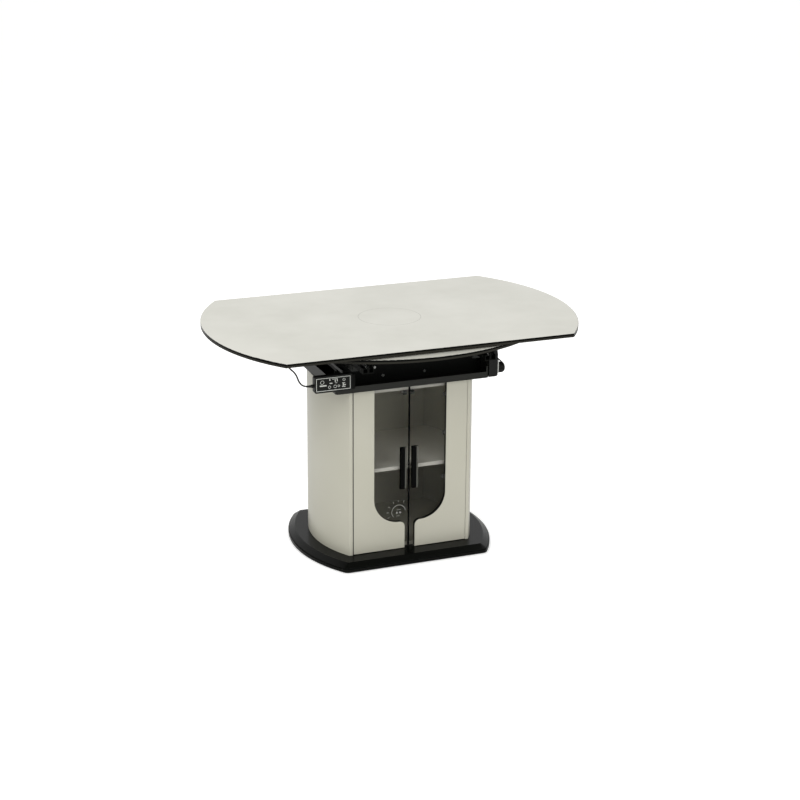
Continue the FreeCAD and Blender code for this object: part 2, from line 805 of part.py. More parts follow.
def make_door(side, label):
    """Cream door with its half of the smoked window, low bar handle and hinge cups."""
    low, high = DOOR_LOW, DOOR_HIGH
    shade = window_points(side, ZERO, DOOR_OUTER, low, high)
    slab = profile(f"{label}DoorSlab", "XZ_Plane", shade, S.door_thickness)
    put(slab, ZERO, DOOR_BACK, ZERO)
    seat_points = window_points(side, S.glass_lap + S.glass_fit, -S.cut_overrun, low - S.cut_overrun,
                                high + S.cut_overrun)
    seat = profile(f"{label}DoorSeat", "XZ_Plane", seat_points, S.door_glass_thickness + S.cut_overrun)
    put(seat, ZERO, DOOR_BACK + S.cut_overrun, ZERO)
    panel = cut(f"{label}Door", slab, [seat] + door_cups(f"{label}CupHole", side))
    node(panel, f"{label}_door_panel")

    glass_points = window_points(side, S.glass_lap, S.door_glass_seam / 2, low, high)
    sheet = profile(f"{label}DoorSheet", "XZ_Plane", glass_points, S.door_glass_thickness)
    put(sheet, ZERO, DOOR_BACK, ZERO)
    glass_holes = door_screws(f"{label}GlassHole", side, GLASS_FRONT - S.cut_overrun)
    node(cut(f"{label}DoorGlass", sheet, glass_holes), f"{label}_door_glass")

    bar_x = sided(side, S.handle_seam_distance, S.handle_seam_distance + S.handle_width)
    bar_y = (GLASS_FRONT - S.handle_depth, GLASS_FRONT)
    bar = box(f"{label}HandleBar", bar_x, bar_y, span(S.handle_bottom, S.handle_length))

    def outer_edge(edge):
        return upright(edge) and edge.BoundBox.YMax < bar_y[0].number + NEARBY

    soft = rounded(f"{label}HandleRound", bar, S.handle_round, outer_edge)
    bite = GLASS_FRONT - S.handle_screw_bite
    node(cut(f"{label}Handle", soft, door_screws(f"{label}HandleHole", side, bite)), f"{label}_door_handle")

    hardware = []
    for number, cup in enumerate(door_cups(f"{label}Cup", side)):
        height = (S.hinge_lower_height, HINGE_UPPER_HEIGHT)[number]
        middle_x = DOOR_OUTER - S.hinge_cup_edge
        flange_x = sided(side, middle_x - S.hinge_flange_width / 2, middle_x + S.hinge_flange_width / 2)
        flange = box(f"{label}CupFlange{number}", flange_x, span(DOOR_BACK, S.hinge_flange_thickness),
                     (height - S.hinge_flange_length / 2, height + S.hinge_flange_length / 2))
        hardware.append(fuse(f"{label}HingeCup{number}", [cup, flange]))
    for number, shank in enumerate(door_screws(f"{label}Shank", side, bite)):
        height = (S.handle_bottom + S.handle_screw_inset,
                  S.handle_bottom + S.handle_length - S.handle_screw_inset)[number]
        x = mirrored(side, S.handle_seam_distance + S.handle_width / 2)
        nut_y = span(DOOR_BACK, S.screw_nut_height)
        nut = rod(f"{label}Nut{number}", S.screw_nut_radius, "y", x, nut_y, height)
        hardware.append(fuse(f"{label}Screw{number}", [shank, nut]))
    for number, height in enumerate((S.clip_lower_height, S.clip_middle_height, CLIP_UPPER_HEIGHT)):
        x = mirrored(side, S.window_half_width + S.clip_offset)
        hardware.append(rod(f"{label}Clip{number}", S.clip_radius, "y", x, span(DOOR_BACK, S.clip_thickness),
                            height))
    strike_x = sided(side, S.strike_distance - S.strike_size / 2, S.strike_distance + S.strike_size / 2)
    strike_z = (LID_BOTTOM - S.strike_size, LID_BOTTOM - (S.strike_size - S.catch_height) / 2)
    hardware.append(box(f"{label}Strike", strike_x, span(DOOR_BACK, S.strike_thickness), strike_z))
    node(gather(f"{label}Hardware", hardware), f"{label}_door_hardware")


def make_tray():
    """Folded sheet tray with higher side walls than front and back, and an upstand behind the lock."""
    z = (TRAY_BOTTOM, TRAY_BOTTOM + S.tray_side_height)
    left, right = -(S.tray_length / 2) - S.tray_left_extra, S.tray_length / 2
    outer = box("TrayOuter", (left, right), middle(S.tray_width), z)
    soft = rounded("TrayRound", outer, S.tray_corner_round, upright)
    wall = S.tray_thickness
    inner = box("TrayInner", (left + wall, right - wall), middle(S.tray_width - wall * 2),
                (TRAY_FLOOR, z[1] + S.cut_overrun))
    soft_inner = rounded("TrayInnerRound", inner, S.tray_corner_round - wall, upright)
    low_edge = box("TrayLowEdge", (left + S.tray_corner_round, right - S.tray_corner_round),
                   middle(S.tray_width + S.cut_overrun * 2),
                   (TRAY_BOTTOM + S.tray_front_height, z[1] + S.cut_overrun))
    folded = cut("TrayFolded", soft, [soft_inner, low_edge] + tray_screws("TrayHole"))
    upstand_y = span(-(S.tray_width / 2) + S.tray_corner_round, S.upstand_length)
    upstand = box("TrayUpstand", (right - wall, right), upstand_y, (TRAY_FLOOR, z[1] + S.upstand_rise))
    node(fuse("Tray", [folded, upstand]), "frame_tray")


def rail_places():
    """Distances of the four rails from the middle, with the leaf that each serves."""
    return [
        (side, distance)
        for distance in (S.front_rail_distance, S.rear_rail_distance)
        for side in (-1, 1)
    ]


def web_screws(name, y_side, start, end):
    """Bright screws through a web."""
    places = [
        (-1, S.low_screw_left_place, LOW_SCREW_HEIGHT),
        (1, S.low_screw_right_place, LOW_SCREW_HEIGHT),
        (-1, S.high_screw_outer_place, HIGH_SCREW_OUTER_HEIGHT),
        (-1, S.high_screw_inner_place, HIGH_SCREW_INNER_HEIGHT),
    ]
    y = (start, end) if y_side > 0 else (-end, -start)
    return [
        rod(f"{name}{number}", S.screw_radius, "y", mirrored(side, place), y, height)
        for number, (side, place, height) in enumerate(places)
    ]


def make_webs():
    """Front and rear cross plates that stand in the tray, with windows for the rails."""
    half_low = S.tray_length / 2 - S.tray_thickness - S.web_side_gap
    half_high = S.cheek_distance - S.cheek_thickness
    shoulder = WEB_SHOULDER
    outline = [
        (-half_low, TRAY_FLOOR), (half_low, TRAY_FLOOR), (half_low, shoulder), (half_high, shoulder),
        (half_high, BOARD_BOTTOM), (-half_high, BOARD_BOTTOM), (-half_high, shoulder), (-half_low, shoulder),
    ]
    for y_side, label in ((-1, "front"), (1, "rear")):
        plate = profile(f"{label}WebPlate", "XZ_Plane", outline, S.web_thickness)
        put(plate, ZERO, -S.web_distance if y_side < 0 else WEB_OUTSIDE, ZERO)
        flange_y = sided(y_side, S.web_distance - S.web_flange, S.web_distance)
        flange_z = (BOARD_BOTTOM - S.web_thickness, BOARD_BOTTOM)
        hob_half = S.hob_length / 2 + S.hob_flange + S.web_side_gap
        flanges = [
            box(f"{label}WebFlange{side + 1}", sided(side, hob_half, half_high), flange_y, flange_z)
            for side in (-1, 1)
        ]
        foot = box(f"{label}WebFoot", (-half_low, half_low), flange_y, span(TRAY_FLOOR, S.web_thickness))
        body = fuse(f"{label}WebBody", [plate, foot] + flanges)
        gap = S.rail_window_gap
        windows = []
        for side, distance in rail_places():
            x = sided(side, distance - S.rail_width / 2 - gap, distance + S.rail_width / 2 + gap)
            y = sided(y_side, S.web_distance - S.cut_overrun, WEB_OUTSIDE + S.cut_overrun)
            top = RAIL_BOTTOM + S.rail_height + S.runner_rise + gap
            windows.append(box(f"{label}WebWindow{len(windows)}", x, y, (RAIL_BOTTOM, top)))
        holes = web_screws(f"{label}WebHole", y_side, S.web_distance - S.cut_overrun,
                           WEB_OUTSIDE + S.cut_overrun)
        node(cut(f"{label}Web", body, windows + holes), f"{label}_web")


def make_cheeks():
    """Left and right plates that carry the table top between the webs."""
    outside = S.cheek_distance
    inside = S.cheek_distance - S.cheek_thickness
    y = (-CHEEK_REACH, CHEEK_REACH)
    for side, label in ((-1, "left"), (1, "right")):
        wall = box(f"{label}CheekWall", sided(side, inside, outside), y, (CHEEK_BOTTOM, BOARD_BOTTOM))
        top_x = sided(side, outside, outside + S.cheek_flange)
        top = box(f"{label}CheekTop", top_x, y, (BOARD_BOTTOM - S.cheek_thickness, BOARD_BOTTOM))
        low_x = sided(side, outside - S.cheek_flange, outside)
        low = box(f"{label}CheekLow", low_x, y, span(CHEEK_BOTTOM - S.cheek_thickness, S.cheek_thickness))
        slots = []
        for y_side in (-1, 1):
            slot_y = sided(y_side, S.web_distance - S.web_side_gap, WEB_OUTSIDE + S.web_side_gap)
            slot_x = sided(side, inside - S.cheek_flange - S.cut_overrun, inside)
            slots.append(box(f"{label}CheekSlot{y_side + 1}", slot_x, slot_y,
                             (CHEEK_BOTTOM - S.cut_overrun, BOARD_BOTTOM)))
        body = fuse(f"{label}CheekBody", [wall, top, low])
        tools = slots + top_screws(f"{label}CheekHole", side)
        if side < 0:
            tools.append(grommet_bore("GrommetHole"))
        node(cut(f"{label}Cheek", body, tools), f"{label}_cheek")


def top_screws(name, side):
    """Screws from a cheek's flange up into the table top board."""
    x = mirrored(side, S.cheek_distance + S.cheek_flange / 2)
    z = (BOARD_BOTTOM - S.cheek_thickness, BOARD_BOTTOM + S.top_screw_bite)
    return [
        rod(f"{name}{number}", S.screw_radius, "z", x, S.top_screw_place * share, z)
        for number, share in enumerate((-1, 0, 1))
    ]


def make_screws():
    """All the bright screws of the frame, each with a round head."""
    screws = []
    for number, shank in enumerate(tray_screws("TrayShank")):
        column, y_side = number // 2 - 1, -1 if number % 2 == 0 else 1
        head = rod(f"TrayHead{number}", S.screw_head_radius, "z", S.tray_screw_place * column,
                   mirrored(y_side, S.tray_screw_depth), span(TRAY_FLOOR, S.screw_head_height))
        screws.append(fuse(f"TrayScrew{number}", [shank, head]))
    for side in (-1, 1):
        head_z = (BOARD_BOTTOM - S.cheek_thickness - S.screw_head_height, BOARD_BOTTOM - S.cheek_thickness)
        for number, shank in enumerate(top_screws(f"TopShank{side + 1}", side)):
            x = mirrored(side, S.cheek_distance + S.cheek_flange / 2)
            head = rod(f"TopHead{side + 1}_{number}", S.screw_head_radius, "z", x,
                       S.top_screw_place * (number - 1), head_z)
            screws.append(fuse(f"TopScrew{side + 1}_{number}", [shank, head]))
    for y_side in (-1, 1):
        shanks = web_screws(f"WebShank{y_side + 1}", y_side, S.web_distance, WEB_OUTSIDE)
        heads = web_screws(f"WebHead{y_side + 1}", y_side, WEB_OUTSIDE, WEB_OUTSIDE + S.screw_head_height)
        for number, (shank, head) in enumerate(zip(shanks, heads)):
            bind(head, Radius=S.screw_head_radius)
            screws.append(fuse(f"WebScrew{y_side + 1}_{number}", [shank, head]))
    node(gather("FrameScrews", screws), "frame_screws")


def make_rails():
    """Fixed channels for the leaves, bars along the cheeks, and the brackets under the channels."""
    half = S.rail_width / 2
    lip = S.rail_lip
    wall = S.rail_thickness
    high = S.rail_height
    section = [
        (-half, ZERO), (half, ZERO), (half, high), (half - lip, high), (half - lip, high - wall),
        (half - wall, high - wall), (half - wall, wall), (wall - half, wall), (wall - half, high - wall),
        (lip - half, high - wall), (lip - half, high), (-half, high),
    ]
    rails = []
    for distance, y_side, label in (
        (S.front_rail_distance, -1, "front"), (S.rear_rail_distance, 1, "rear"),
    ):
        for side in (-1, 1):
            rail = profile(f"{label}Rail{side + 1}", "XZ_Plane", section, S.rail_length)
            back = -S.rail_front + S.rail_length if y_side < 0 else S.rail_front
            put(rail, mirrored(side, distance), back, RAIL_BOTTOM)
            rails.append(rail)
    guide_z = span(RAIL_BOTTOM - S.guide_drop, S.guide_height)
    for side, front in ((-1, -S.rail_front), (1, -CHEEK_REACH)):
        guide_x = sided(side, S.cheek_distance, S.cheek_distance + S.guide_thickness)
        rails.append(box(f"CheekGuide{side + 1}", guide_x, (front, S.rail_front), guide_z))
    node(gather("LeafRails", rails), "leaf_rails")
    brackets = []
    for y_side in (-1, 1):
        for side, distance in rail_places():
            x = sided(side, distance - half, distance + half)
            y = sided(y_side, S.web_distance - S.rail_bracket_depth, S.web_distance)
            z = (RAIL_BOTTOM - S.rail_bracket_height, RAIL_BOTTOM)
            brackets.append(box(f"RailBracket{len(brackets)}", x, y, z))
    node(gather("RailBrackets", brackets), "rail_brackets")


def make_top():
    """Black-edged glass on a thin board, both with straight sides and round ends."""
    board_z = (BOARD_BOTTOM, BOARD_TOP)
    glass_z = (BOARD_TOP, S.top_height)
    reach = (-(TOP_RADIUS + S.cut_overrun), TOP_RADIUS + S.cut_overrun)
    slab = box("TopBoardSlab", reach, middle(S.top_width), board_z)
    disc = rod("TopBoardDisc", TOP_RADIUS, "z", ZERO, ZERO, board_z)
    plate = common("TopBoardPlate", [slab, disc])
    opening = rod("HobOpening", S.hob_opening_radius, "z", ZERO, ZERO,
                  (BOARD_BOTTOM - S.cut_overrun, BOARD_TOP + S.cut_overrun))
    holes = top_screws("TopHoleLeft", -1) + top_screws("TopHoleRight", 1)
    node(cut("TopBoard", plate, [opening] + holes), "top_board")
    sheet = box("TopGlassSlab", reach, middle(S.top_width), glass_z)
    round_sheet = rod("TopGlassDisc", TOP_RADIUS, "z", ZERO, ZERO, glass_z)
    glass = common("TopGlassPlate", [sheet, round_sheet])
    node(rounded("TopGlass", glass, S.glass_edge_round, level_at(S.top_height)), "top_glass")


def leaf_plate(name, y_side, z):
    """Segment of the opened round top, pushed in under the table top."""
    disc = rod(f"{name}Disc", TOP_RADIUS, "z", ZERO, mirrored(-y_side, LEAF_TUCK), z)
    y = sided(y_side, LEAF_INNER_EDGE, TOP_RADIUS)
    return common(name, [disc, box(f"{name}Zone", middle(S.top_length), y, z)])


def lift_pins(name, y_side, side, radius):
    """Two lower and two upper cross pins of one lift unit."""
    x_middle = mirrored(side, S.lift_distance)
    lower_half = S.lower_bracket_width / 2
    upper_half = lower_half - S.bracket_thickness - S.link_gap
    pins = []
    for place in (S.front_pin_place, S.rear_pin_place):
        for half, y, z in (
            (lower_half, mirrored(y_side, place), LOWER_PIN_HEIGHT),
            (upper_half, mirrored(y_side, place - LINK_RUN), UPPER_PIN_HEIGHT),
        ):
            x = (x_middle - half, x_middle + half)
            pins.append(rod(f"{name}{len(pins)}", radius, "x", x, y, z))
    return pins


def link_plate(name, y_side, side, edge, place):
    """Flat bar with rounded ends between a lower and an upper pin, at one side of the unit."""
    half = S.link_height / 2
    across_y = mirrored(y_side, LINK_RISE / S.link_length * half)
    across_z = LINK_RUN / S.link_length * half
    low_y = mirrored(y_side, place)
    high_y = mirrored(y_side, place - LINK_RUN)
    end_round = half * LINK_ROUND_SHARE
    points = [
        (low_y - across_y, LOWER_PIN_HEIGHT - across_z),
        (high_y - across_y, UPPER_PIN_HEIGHT - across_z, end_round, y_side),
        (high_y + across_y, UPPER_PIN_HEIGHT + across_z),
        (low_y + across_y, LOWER_PIN_HEIGHT + across_z, end_round, y_side),
    ]
    plate = profile(name, "YZ_Plane", points, S.link_thickness)
    outer = S.lower_bracket_width / 2 - S.bracket_thickness - S.link_gap
    start = outer - S.link_thickness if edge > 0 else -outer
    return put(plate, mirrored(side, S.lift_distance) + start, ZERO, ZERO)


def arc_between(start, corner, end):
    """Arc from start to end that stays tangent to the two lines through the corner."""
    base = (start + end) / 2
    half = (end - start).Length / 2
    height = (corner - base).Length
    slant = math.hypot(half, height)
    rise = half * (slant - half) / height
    return Part.Arc(start, base + (corner - base) * (rise / height), end).toShape()


def two_arcs(start, start_way, end, end_way):
    """Two arcs that leave one point along its direction and reach the next along its own."""
    chord = end - start
    both = start_way + end_way
    across = chord.dot(both)
    spread = 2 * (1 - start_way.dot(end_way))
    reach = (-across + math.sqrt(across * across + spread * chord.dot(chord))) / spread
    first_corner = start + start_way * reach
    last_corner = end - end_way * reach
    meeting = (first_corner + last_corner) / 2
    return [arc_between(start, first_corner, meeting), arc_between(meeting, last_corner, end)]


def coil_spring(length):
    """Stretched extension spring along Y: straight tails and one unbroken run of turns."""
    coil = S.spring_coil_radius.number
    tail = S.spring_tail.number
    lead = S.spring_lead.number
    pitch = (length - tail * 2 - lead * 2) / SPRING_TURNS

    def on_turn(half_turns):
        angle = math.pi * half_turns
        y = tail + lead + pitch * half_turns / 2
        place = FreeCAD.Vector(coil * math.sin(angle), y, coil * math.cos(angle))
        way = FreeCAD.Vector(coil * math.cos(angle), pitch / 2 / math.pi, -coil * math.sin(angle))
        return place, way.normalize()

    forward = FreeCAD.Vector(0, 1, 0)
    first = FreeCAD.Vector(0, 0, coil)
    entry = first + forward * tail
    last = first + forward * length
    leave = last - forward * tail
    stops = [(entry, forward)]
    stops += [on_turn(half_turns + 1 / 2) for half_turns in range(SPRING_TURNS * 2)]
    stops.append((leave, forward))
    edges = [Part.LineSegment(first, entry).toShape()]
    for (place, way), (following, next_way) in zip(stops, stops[1:]):
        edges += two_arcs(place, way, following, next_way)
    edges.append(Part.LineSegment(leave, last).toShape())
    ring = Part.Wire(Part.makeCircle(S.spring_wire.number / 2, first, forward))
    print(f"spring: least gap between turns {pitch - S.spring_wire.number:.2f} mm")
    return Part.Wire(edges).makePipeShell([ring], True, False)


def make_leaf(y_side, label, rail_distance):
    """One leaf with its board, glass, runners, crossbar and two spring lift units."""
    board = leaf_plate(f"{label}LeafBoard", y_side, (LEAF_BOTTOM, LEAF_GLASS_BOTTOM))
    node(board, f"{label}_leaf_board")
    sheet = leaf_plate(f"{label}LeafSheet", y_side, (LEAF_GLASS_BOTTOM, LEAF_TOP))
    node(rounded(f"{label}LeafGlass", sheet, S.glass_edge_round, level_at(LEAF_TOP)), f"{label}_leaf_glass")

    wall, gap = S.rail_thickness, S.runner_gap
    half = S.rail_width / 2 - wall - gap
    neck = S.runner_neck_width / 2
    low = wall + gap
    shoulder = S.rail_height - wall - gap
    crown = S.rail_height + S.runner_rise
    section = [
        (-half, low), (half, low), (half, shoulder), (neck, shoulder),
        (neck, crown), (-neck, crown), (-neck, shoulder), (-half, shoulder),
    ]
    runners = []
    for side in (-1, 1):
        runner = profile(f"{label}Runner{side + 1}", "XZ_Plane", section, S.runner_length)
        reach = S.rail_front + S.runner_reach
        back = S.runner_length - reach if y_side < 0 else reach
        runners.append(put(runner, mirrored(side, rail_distance), back, RAIL_BOTTOM))
    node(gather(f"{label}Runners", runners), f"{label}_leaf_runners")

    bar_y = sided(y_side, S.rail_front - S.crossbar_width, S.rail_front)
    bar_z = (CROSSBAR_BOTTOM, CROSSBAR_TOP)
    node(box(f"{label}Crossbar", middle(S.crossbar_length), bar_y, bar_z), f"{label}_leaf_crossbar")

    brackets, links, pins, springs = [], [], [], []
    y = sided(y_side, S.lift_start, S.lift_start + S.lift_length)
    post = S.spring_post_width / 2
    far_post = S.lift_start + S.lift_length - S.spring_post_inset
    near_post = S.lift_start + S.spring_post_inset
    thick = S.bracket_thickness
    for side in (-1, 1):
        x = mirrored(side, S.lift_distance)
        name = f"{label}Unit{side + 1}"
        for kind, half_width, base_z, ear_z, post_z, post_y in (
            ("Lower", S.lower_bracket_width / 2, span(bar_z[1], thick),
             span(bar_z[1], S.lower_ear_height),
             (bar_z[1], SPRING_HEIGHT + S.spring_coil_radius * 2),
             sided(y_side, far_post - S.spring_post_thickness, far_post)),
            ("Upper", S.upper_bracket_width / 2, (LEAF_BOTTOM - thick, LEAF_BOTTOM),
             (LEAF_BOTTOM - S.upper_ear_height, LEAF_BOTTOM),
             (SPRING_HEIGHT - S.spring_coil_radius, LEAF_BOTTOM),
             sided(y_side, near_post, near_post + S.spring_post_thickness)),
        ):
            pieces = [box(f"{name}{kind}Base", (x - half_width, x + half_width), y, base_z)]
            for edge in (-1, 1):
                ear_x = sided(edge, half_width - thick, half_width)
                pieces.append(box(f"{name}{kind}Ear{edge + 1}", (x + ear_x[0], x + ear_x[1]), y, ear_z))
            pieces.append(box(f"{name}{kind}Post", (x - post, x + post), post_y, post_z))
            body = fuse(f"{name}{kind}Body", pieces)
            bores = lift_pins(f"{name}{kind}Bore", y_side, side, S.link_pin_radius + S.link_pin_clearance)
            brackets.append(cut(f"{name}{kind}", body, bores))
        for number, place in enumerate((S.front_pin_place, S.rear_pin_place)):
            for edge in (-1, 1):
                link = link_plate(f"{name}Link{number}{edge + 1}", y_side, side, edge, place)
                bores = lift_pins(f"{name}LinkBore{number}{edge + 1}", y_side, side,
                                  S.link_pin_radius + S.link_pin_clearance)
                links.append(cut(f"{name}Arm{number}{edge + 1}", link, bores))
        pins += lift_pins(f"{name}Pin", y_side, side, S.link_pin_radius)
        start = -(far_post - S.spring_post_thickness) if y_side < 0 else near_post + S.spring_post_thickness
        length = far_post - near_post - S.spring_post_thickness * 2
        spring = DOC.addObject("Part::Feature", f"{name}Spring")
        spring.Shape = coil_spring(length.number)
        springs.append(put(spring, x, start, SPRING_HEIGHT))
    node(gather(f"{label}LiftBrackets", brackets), f"{label}_lift_brackets")
    node(gather(f"{label}LiftArms", links + pins), f"{label}_lift_arms")
    node(gather(f"{label}LiftSprings", springs), f"{label}_lift_springs")


def former_posts(name, radius):
    """Four posts under the coil former, on the axes of the hob."""
    z = (HOB_FLOOR, FORMER_BOTTOM)
    places = ((S.post_place, ZERO), (-S.post_place, ZERO), (ZERO, S.post_place), (ZERO, -S.post_place))
    return [rod(f"{name}{number}", radius, "z", x, y, z) for number, (x, y) in enumerate(places)]


def make_hob():
    """Induction hob under the glass: housing, coil on its former, circuit and cooling fan."""
    outer = box("HobOuter", middle(S.hob_length), middle(S.hob_length), (HOB_BOTTOM, BOARD_BOTTOM))
    flange_length = S.hob_length + S.hob_flange * 2
    flange = box("HobFlange", middle(flange_length), middle(flange_length),
                 (BOARD_BOTTOM - S.hob_flange_thickness, BOARD_BOTTOM))
    inner_length = S.hob_length - S.hob_wall * 2
    inner = box("HobInner", middle(inner_length), middle(inner_length),
                (HOB_FLOOR, BOARD_BOTTOM + S.cut_overrun))
    tools = [inner]
    slot_z = (HOB_BOTTOM - S.cut_overrun, HOB_FLOOR + S.cut_overrun)
    tools.append(rod("HobFanInlet", S.fan_inlet_radius, "z", S.fan_place, S.fan_place,
                     (HOB_BOTTOM - S.cut_overrun, HOB_FLOOR)))
    for number in range(VENT_COUNT):
        x = -(S.vent_first_place + S.vent_pitch * number)
        tools.append(box(f"HobVent{number}", span(x - S.vent_width, S.vent_width),
                         span(S.vent_start, S.vent_length), slot_z))
    tools.append(gland_bore("HobSideHole", -1))
    tools.append(gland_bore("HobMainsHole", 1))
    shell = cut("HobShell", fuse("HobBody", [outer, flange]), tools)
    sheet_z = (HOB_BOTTOM, HOB_FLOOR)
    spoke_reach = (S.fan_place - S.fan_bore_radius, S.fan_place + S.fan_bore_radius)
    spoke_width = (S.fan_place - S.fan_strut_width / 2, S.fan_place + S.fan_strut_width / 2)
    spokes = [
        box("FanGrateX", spoke_reach, spoke_width, sheet_z),
        box("FanGrateY", spoke_width, spoke_reach, sheet_z),
        rod("FanGrateHub", S.fan_motor_radius, "z", S.fan_place, S.fan_place, sheet_z),
    ]
    node(fuse("Hob", [shell] + spokes), "hob_housing")

    disc = rod("FormerDisc", S.former_radius, "z", ZERO, ZERO, (FORMER_BOTTOM, FORMER_TOP))
    node(fuse("Former", [disc] + former_posts("FormerPost", S.post_radius)), "hob_coil_former")
    coil_z = (FORMER_TOP, COIL_TOP)
    coil_eye = rod("CoilInner", S.coil_inner_radius, "z", ZERO, ZERO,
                   (coil_z[0], coil_z[1] + S.cut_overrun))
    ring = cut("CoilRing", rod("CoilOuter", S.coil_outer_radius, "z", ZERO, ZERO, coil_z), [coil_eye])
    node(ring, "hob_coil")
    bars = []
    for number in range(FERRITE_COUNT):
        angle = FULL_TURN * number / FERRITE_COUNT + S.ferrite_turn.number
        bar = Part.makeBox(S.ferrite_length.number, S.ferrite_width.number, S.ferrite_thickness.number,
                           FreeCAD.Vector(S.ferrite_start.number, -S.ferrite_width.number / 2,
                                          (FORMER_BOTTOM - S.ferrite_thickness).number))
        bar.rotate(FreeCAD.Vector(), FreeCAD.Vector(0, 0, 1), angle)
        bars.append(bar)
    ferrites = DOC.addObject("Part::Feature", "Ferrites")
    ferrites.Shape = Part.makeCompound(bars)
    node(ferrites, "hob_ferrites")

    board_low = HOB_FLOOR + S.circuit_height
    board_top = board_low + S.circuit_thickness
    half_x, half_y = S.circuit_length / 2, S.circuit_width / 2
    board = box("CircuitBoard", (-half_x, half_x), (-S.circuit_place - half_y, -S.circuit_place + half_y),
                (board_low, board_top))
    pieces = [cut("Circuit", board, former_posts("CircuitHole", S.post_radius + S.board_gap))]
    for x_side in (-1, 1):
        for y_side in (-1, 1):
            x = mirrored(x_side, half_x - S.circuit_post_inset)
            y = mirrored(y_side, half_y - S.circuit_post_inset) - S.circuit_place
            pieces.append(rod(f"CircuitPost{len(pieces)}", S.circuit_post_radius, "z", x, y,
                              (HOB_FLOOR, board_low)))
    sink_x = (S.post_radius * 2, S.post_radius * 2 + S.heat_sink_length)
    sink_y = middle(S.heat_sink_width)
    sink = box("HeatSinkBlock", sink_x, (sink_y[0] - S.circuit_place, sink_y[1] - S.circuit_place),
               span(board_top, S.heat_sink_height))
    grooves = []
    pitch = S.heat_sink_width / (FIN_COUNT * 2 - 1)
    for number in range(FIN_COUNT - 1):
        start = sink_y[0] - S.circuit_place + pitch * (number * 2 + 1)
        grooves.append(box(f"HeatSinkGroove{number}", (sink_x[0] - S.cut_overrun, sink_x[1] + S.cut_overrun),
                           span(start, pitch), (board_top + S.hob_wall, board_top + S.heat_sink_height * 2)))
    pieces.append(cut("HeatSink", sink, grooves))
    node(gather("CircuitGroup", pieces), "hob_circuit")
    make_fan()


def make_fan():
    """Square fan frame with its motor, and the rotor that turns on the motor's shaft."""
    place = S.fan_place
    half = S.fan_size / 2
    z = span(HOB_FLOOR, S.fan_height)
    block = box("FanBlock", (place - half, place + half), (place - half, place + half), z)
    bore = rod("FanBore", S.fan_bore_radius, "z", place, place,
               (z[0] - S.cut_overrun, z[1] + S.cut_overrun))
    ring = cut("FanRing", block, [bore])
    strut_z = span(HOB_FLOOR, S.fan_hub_wall)
    strut_half = S.fan_strut_width / 2
    pieces = [
        ring,
        box("FanStrutX", (place - S.fan_bore_radius, place + S.fan_bore_radius),
            (place - strut_half, place + strut_half), strut_z),
        box("FanStrutY", (place - strut_half, place + strut_half),
            (place - S.fan_bore_radius, place + S.fan_bore_radius), strut_z),
        rod("FanMotor", S.fan_motor_radius, "z", place, place, span(HOB_FLOOR, S.fan_motor_height)),
        rod("FanShaft", S.fan_shaft_radius, "z", place, place,
            (HOB_FLOOR, HOB_FLOOR + S.fan_motor_height + S.fan_blade_height - S.fan_hub_wall)),
    ]
    node(fuse("FanFrame", pieces), "hob_fan_frame")

    low = S.fan_motor_height + S.fan_lift
    high = low + S.fan_blade_height
    axis = FreeCAD.Vector(0, 0, 1)
    hub = Part.makeCylinder(S.fan_hub_radius.number, S.fan_blade_height.number,
                            FreeCAD.Vector(0, 0, low.number))
    limit = Part.makeCylinder(S.fan_blade_radius.number, S.fan_blade_height.number,
                              FreeCAD.Vector(0, 0, low.number))
    blades = []
    slant = S.fan_blade_height.number / math.cos(math.radians(BLADE_TURN)) * BLADE_LENGTH_SHARE
    for number in range(BLADE_COUNT):
        blade = Part.makeBox(S.fan_blade_radius.number, S.fan_blade_thickness.number, slant,
                             FreeCAD.Vector(0, -S.fan_blade_thickness.number / 2, -slant / 2))
        blade.rotate(FreeCAD.Vector(), FreeCAD.Vector(1, 0, 0), BLADE_TURN)
        blade.translate(FreeCAD.Vector(0, 0, (low.number + high.number) / 2))
        blade.rotate(FreeCAD.Vector(), axis, FULL_TURN * number / BLADE_COUNT)
        blades.append(blade)
    wheel = hub.fuse(blades).common(limit)
    bore = Part.makeCylinder((S.fan_shaft_radius + S.fan_shaft_clearance).number,
                             (S.fan_blade_height - S.fan_hub_wall + S.fan_lift).number)
    bore.translate(FreeCAD.Vector(0, 0, low.number - S.fan_lift.number))
    rotor = DOC.addObject("Part::Feature", "FanRotor")
    rotor.Shape = wheel.cut(bore)
    put(rotor, place, place, HOB_FLOOR)
    node(rotor, "hob_fan_rotor")


def gland_bore(name, kind):
    """Hole through the hob's left wall for the control cord (-1), or its back wall for the mains (1)."""
    half = S.hob_length / 2
    reach = (half - S.hob_wall - S.cut_overrun, half + S.cut_overrun)
    if kind < 0:
        return rod(name, CORD_BORE, "x", sided(-1, *reach), -S.cord_entry_place, CORD_ENTRY_HEIGHT)
    return rod(name, CORD_BORE, "y", MAINS_PLACE, reach, CORD_ENTRY_HEIGHT)


def grommet_bore(name):
    """Hole in the left cheek for the cord's grommet."""
    x = sided(-1, S.cheek_distance - S.cheek_thickness - S.cut_overrun, S.cheek_distance + S.cut_overrun)
    return rod(name, S.gland_radius, "x", x, -S.cord_entry_place, CORD_ENTRY_HEIGHT)


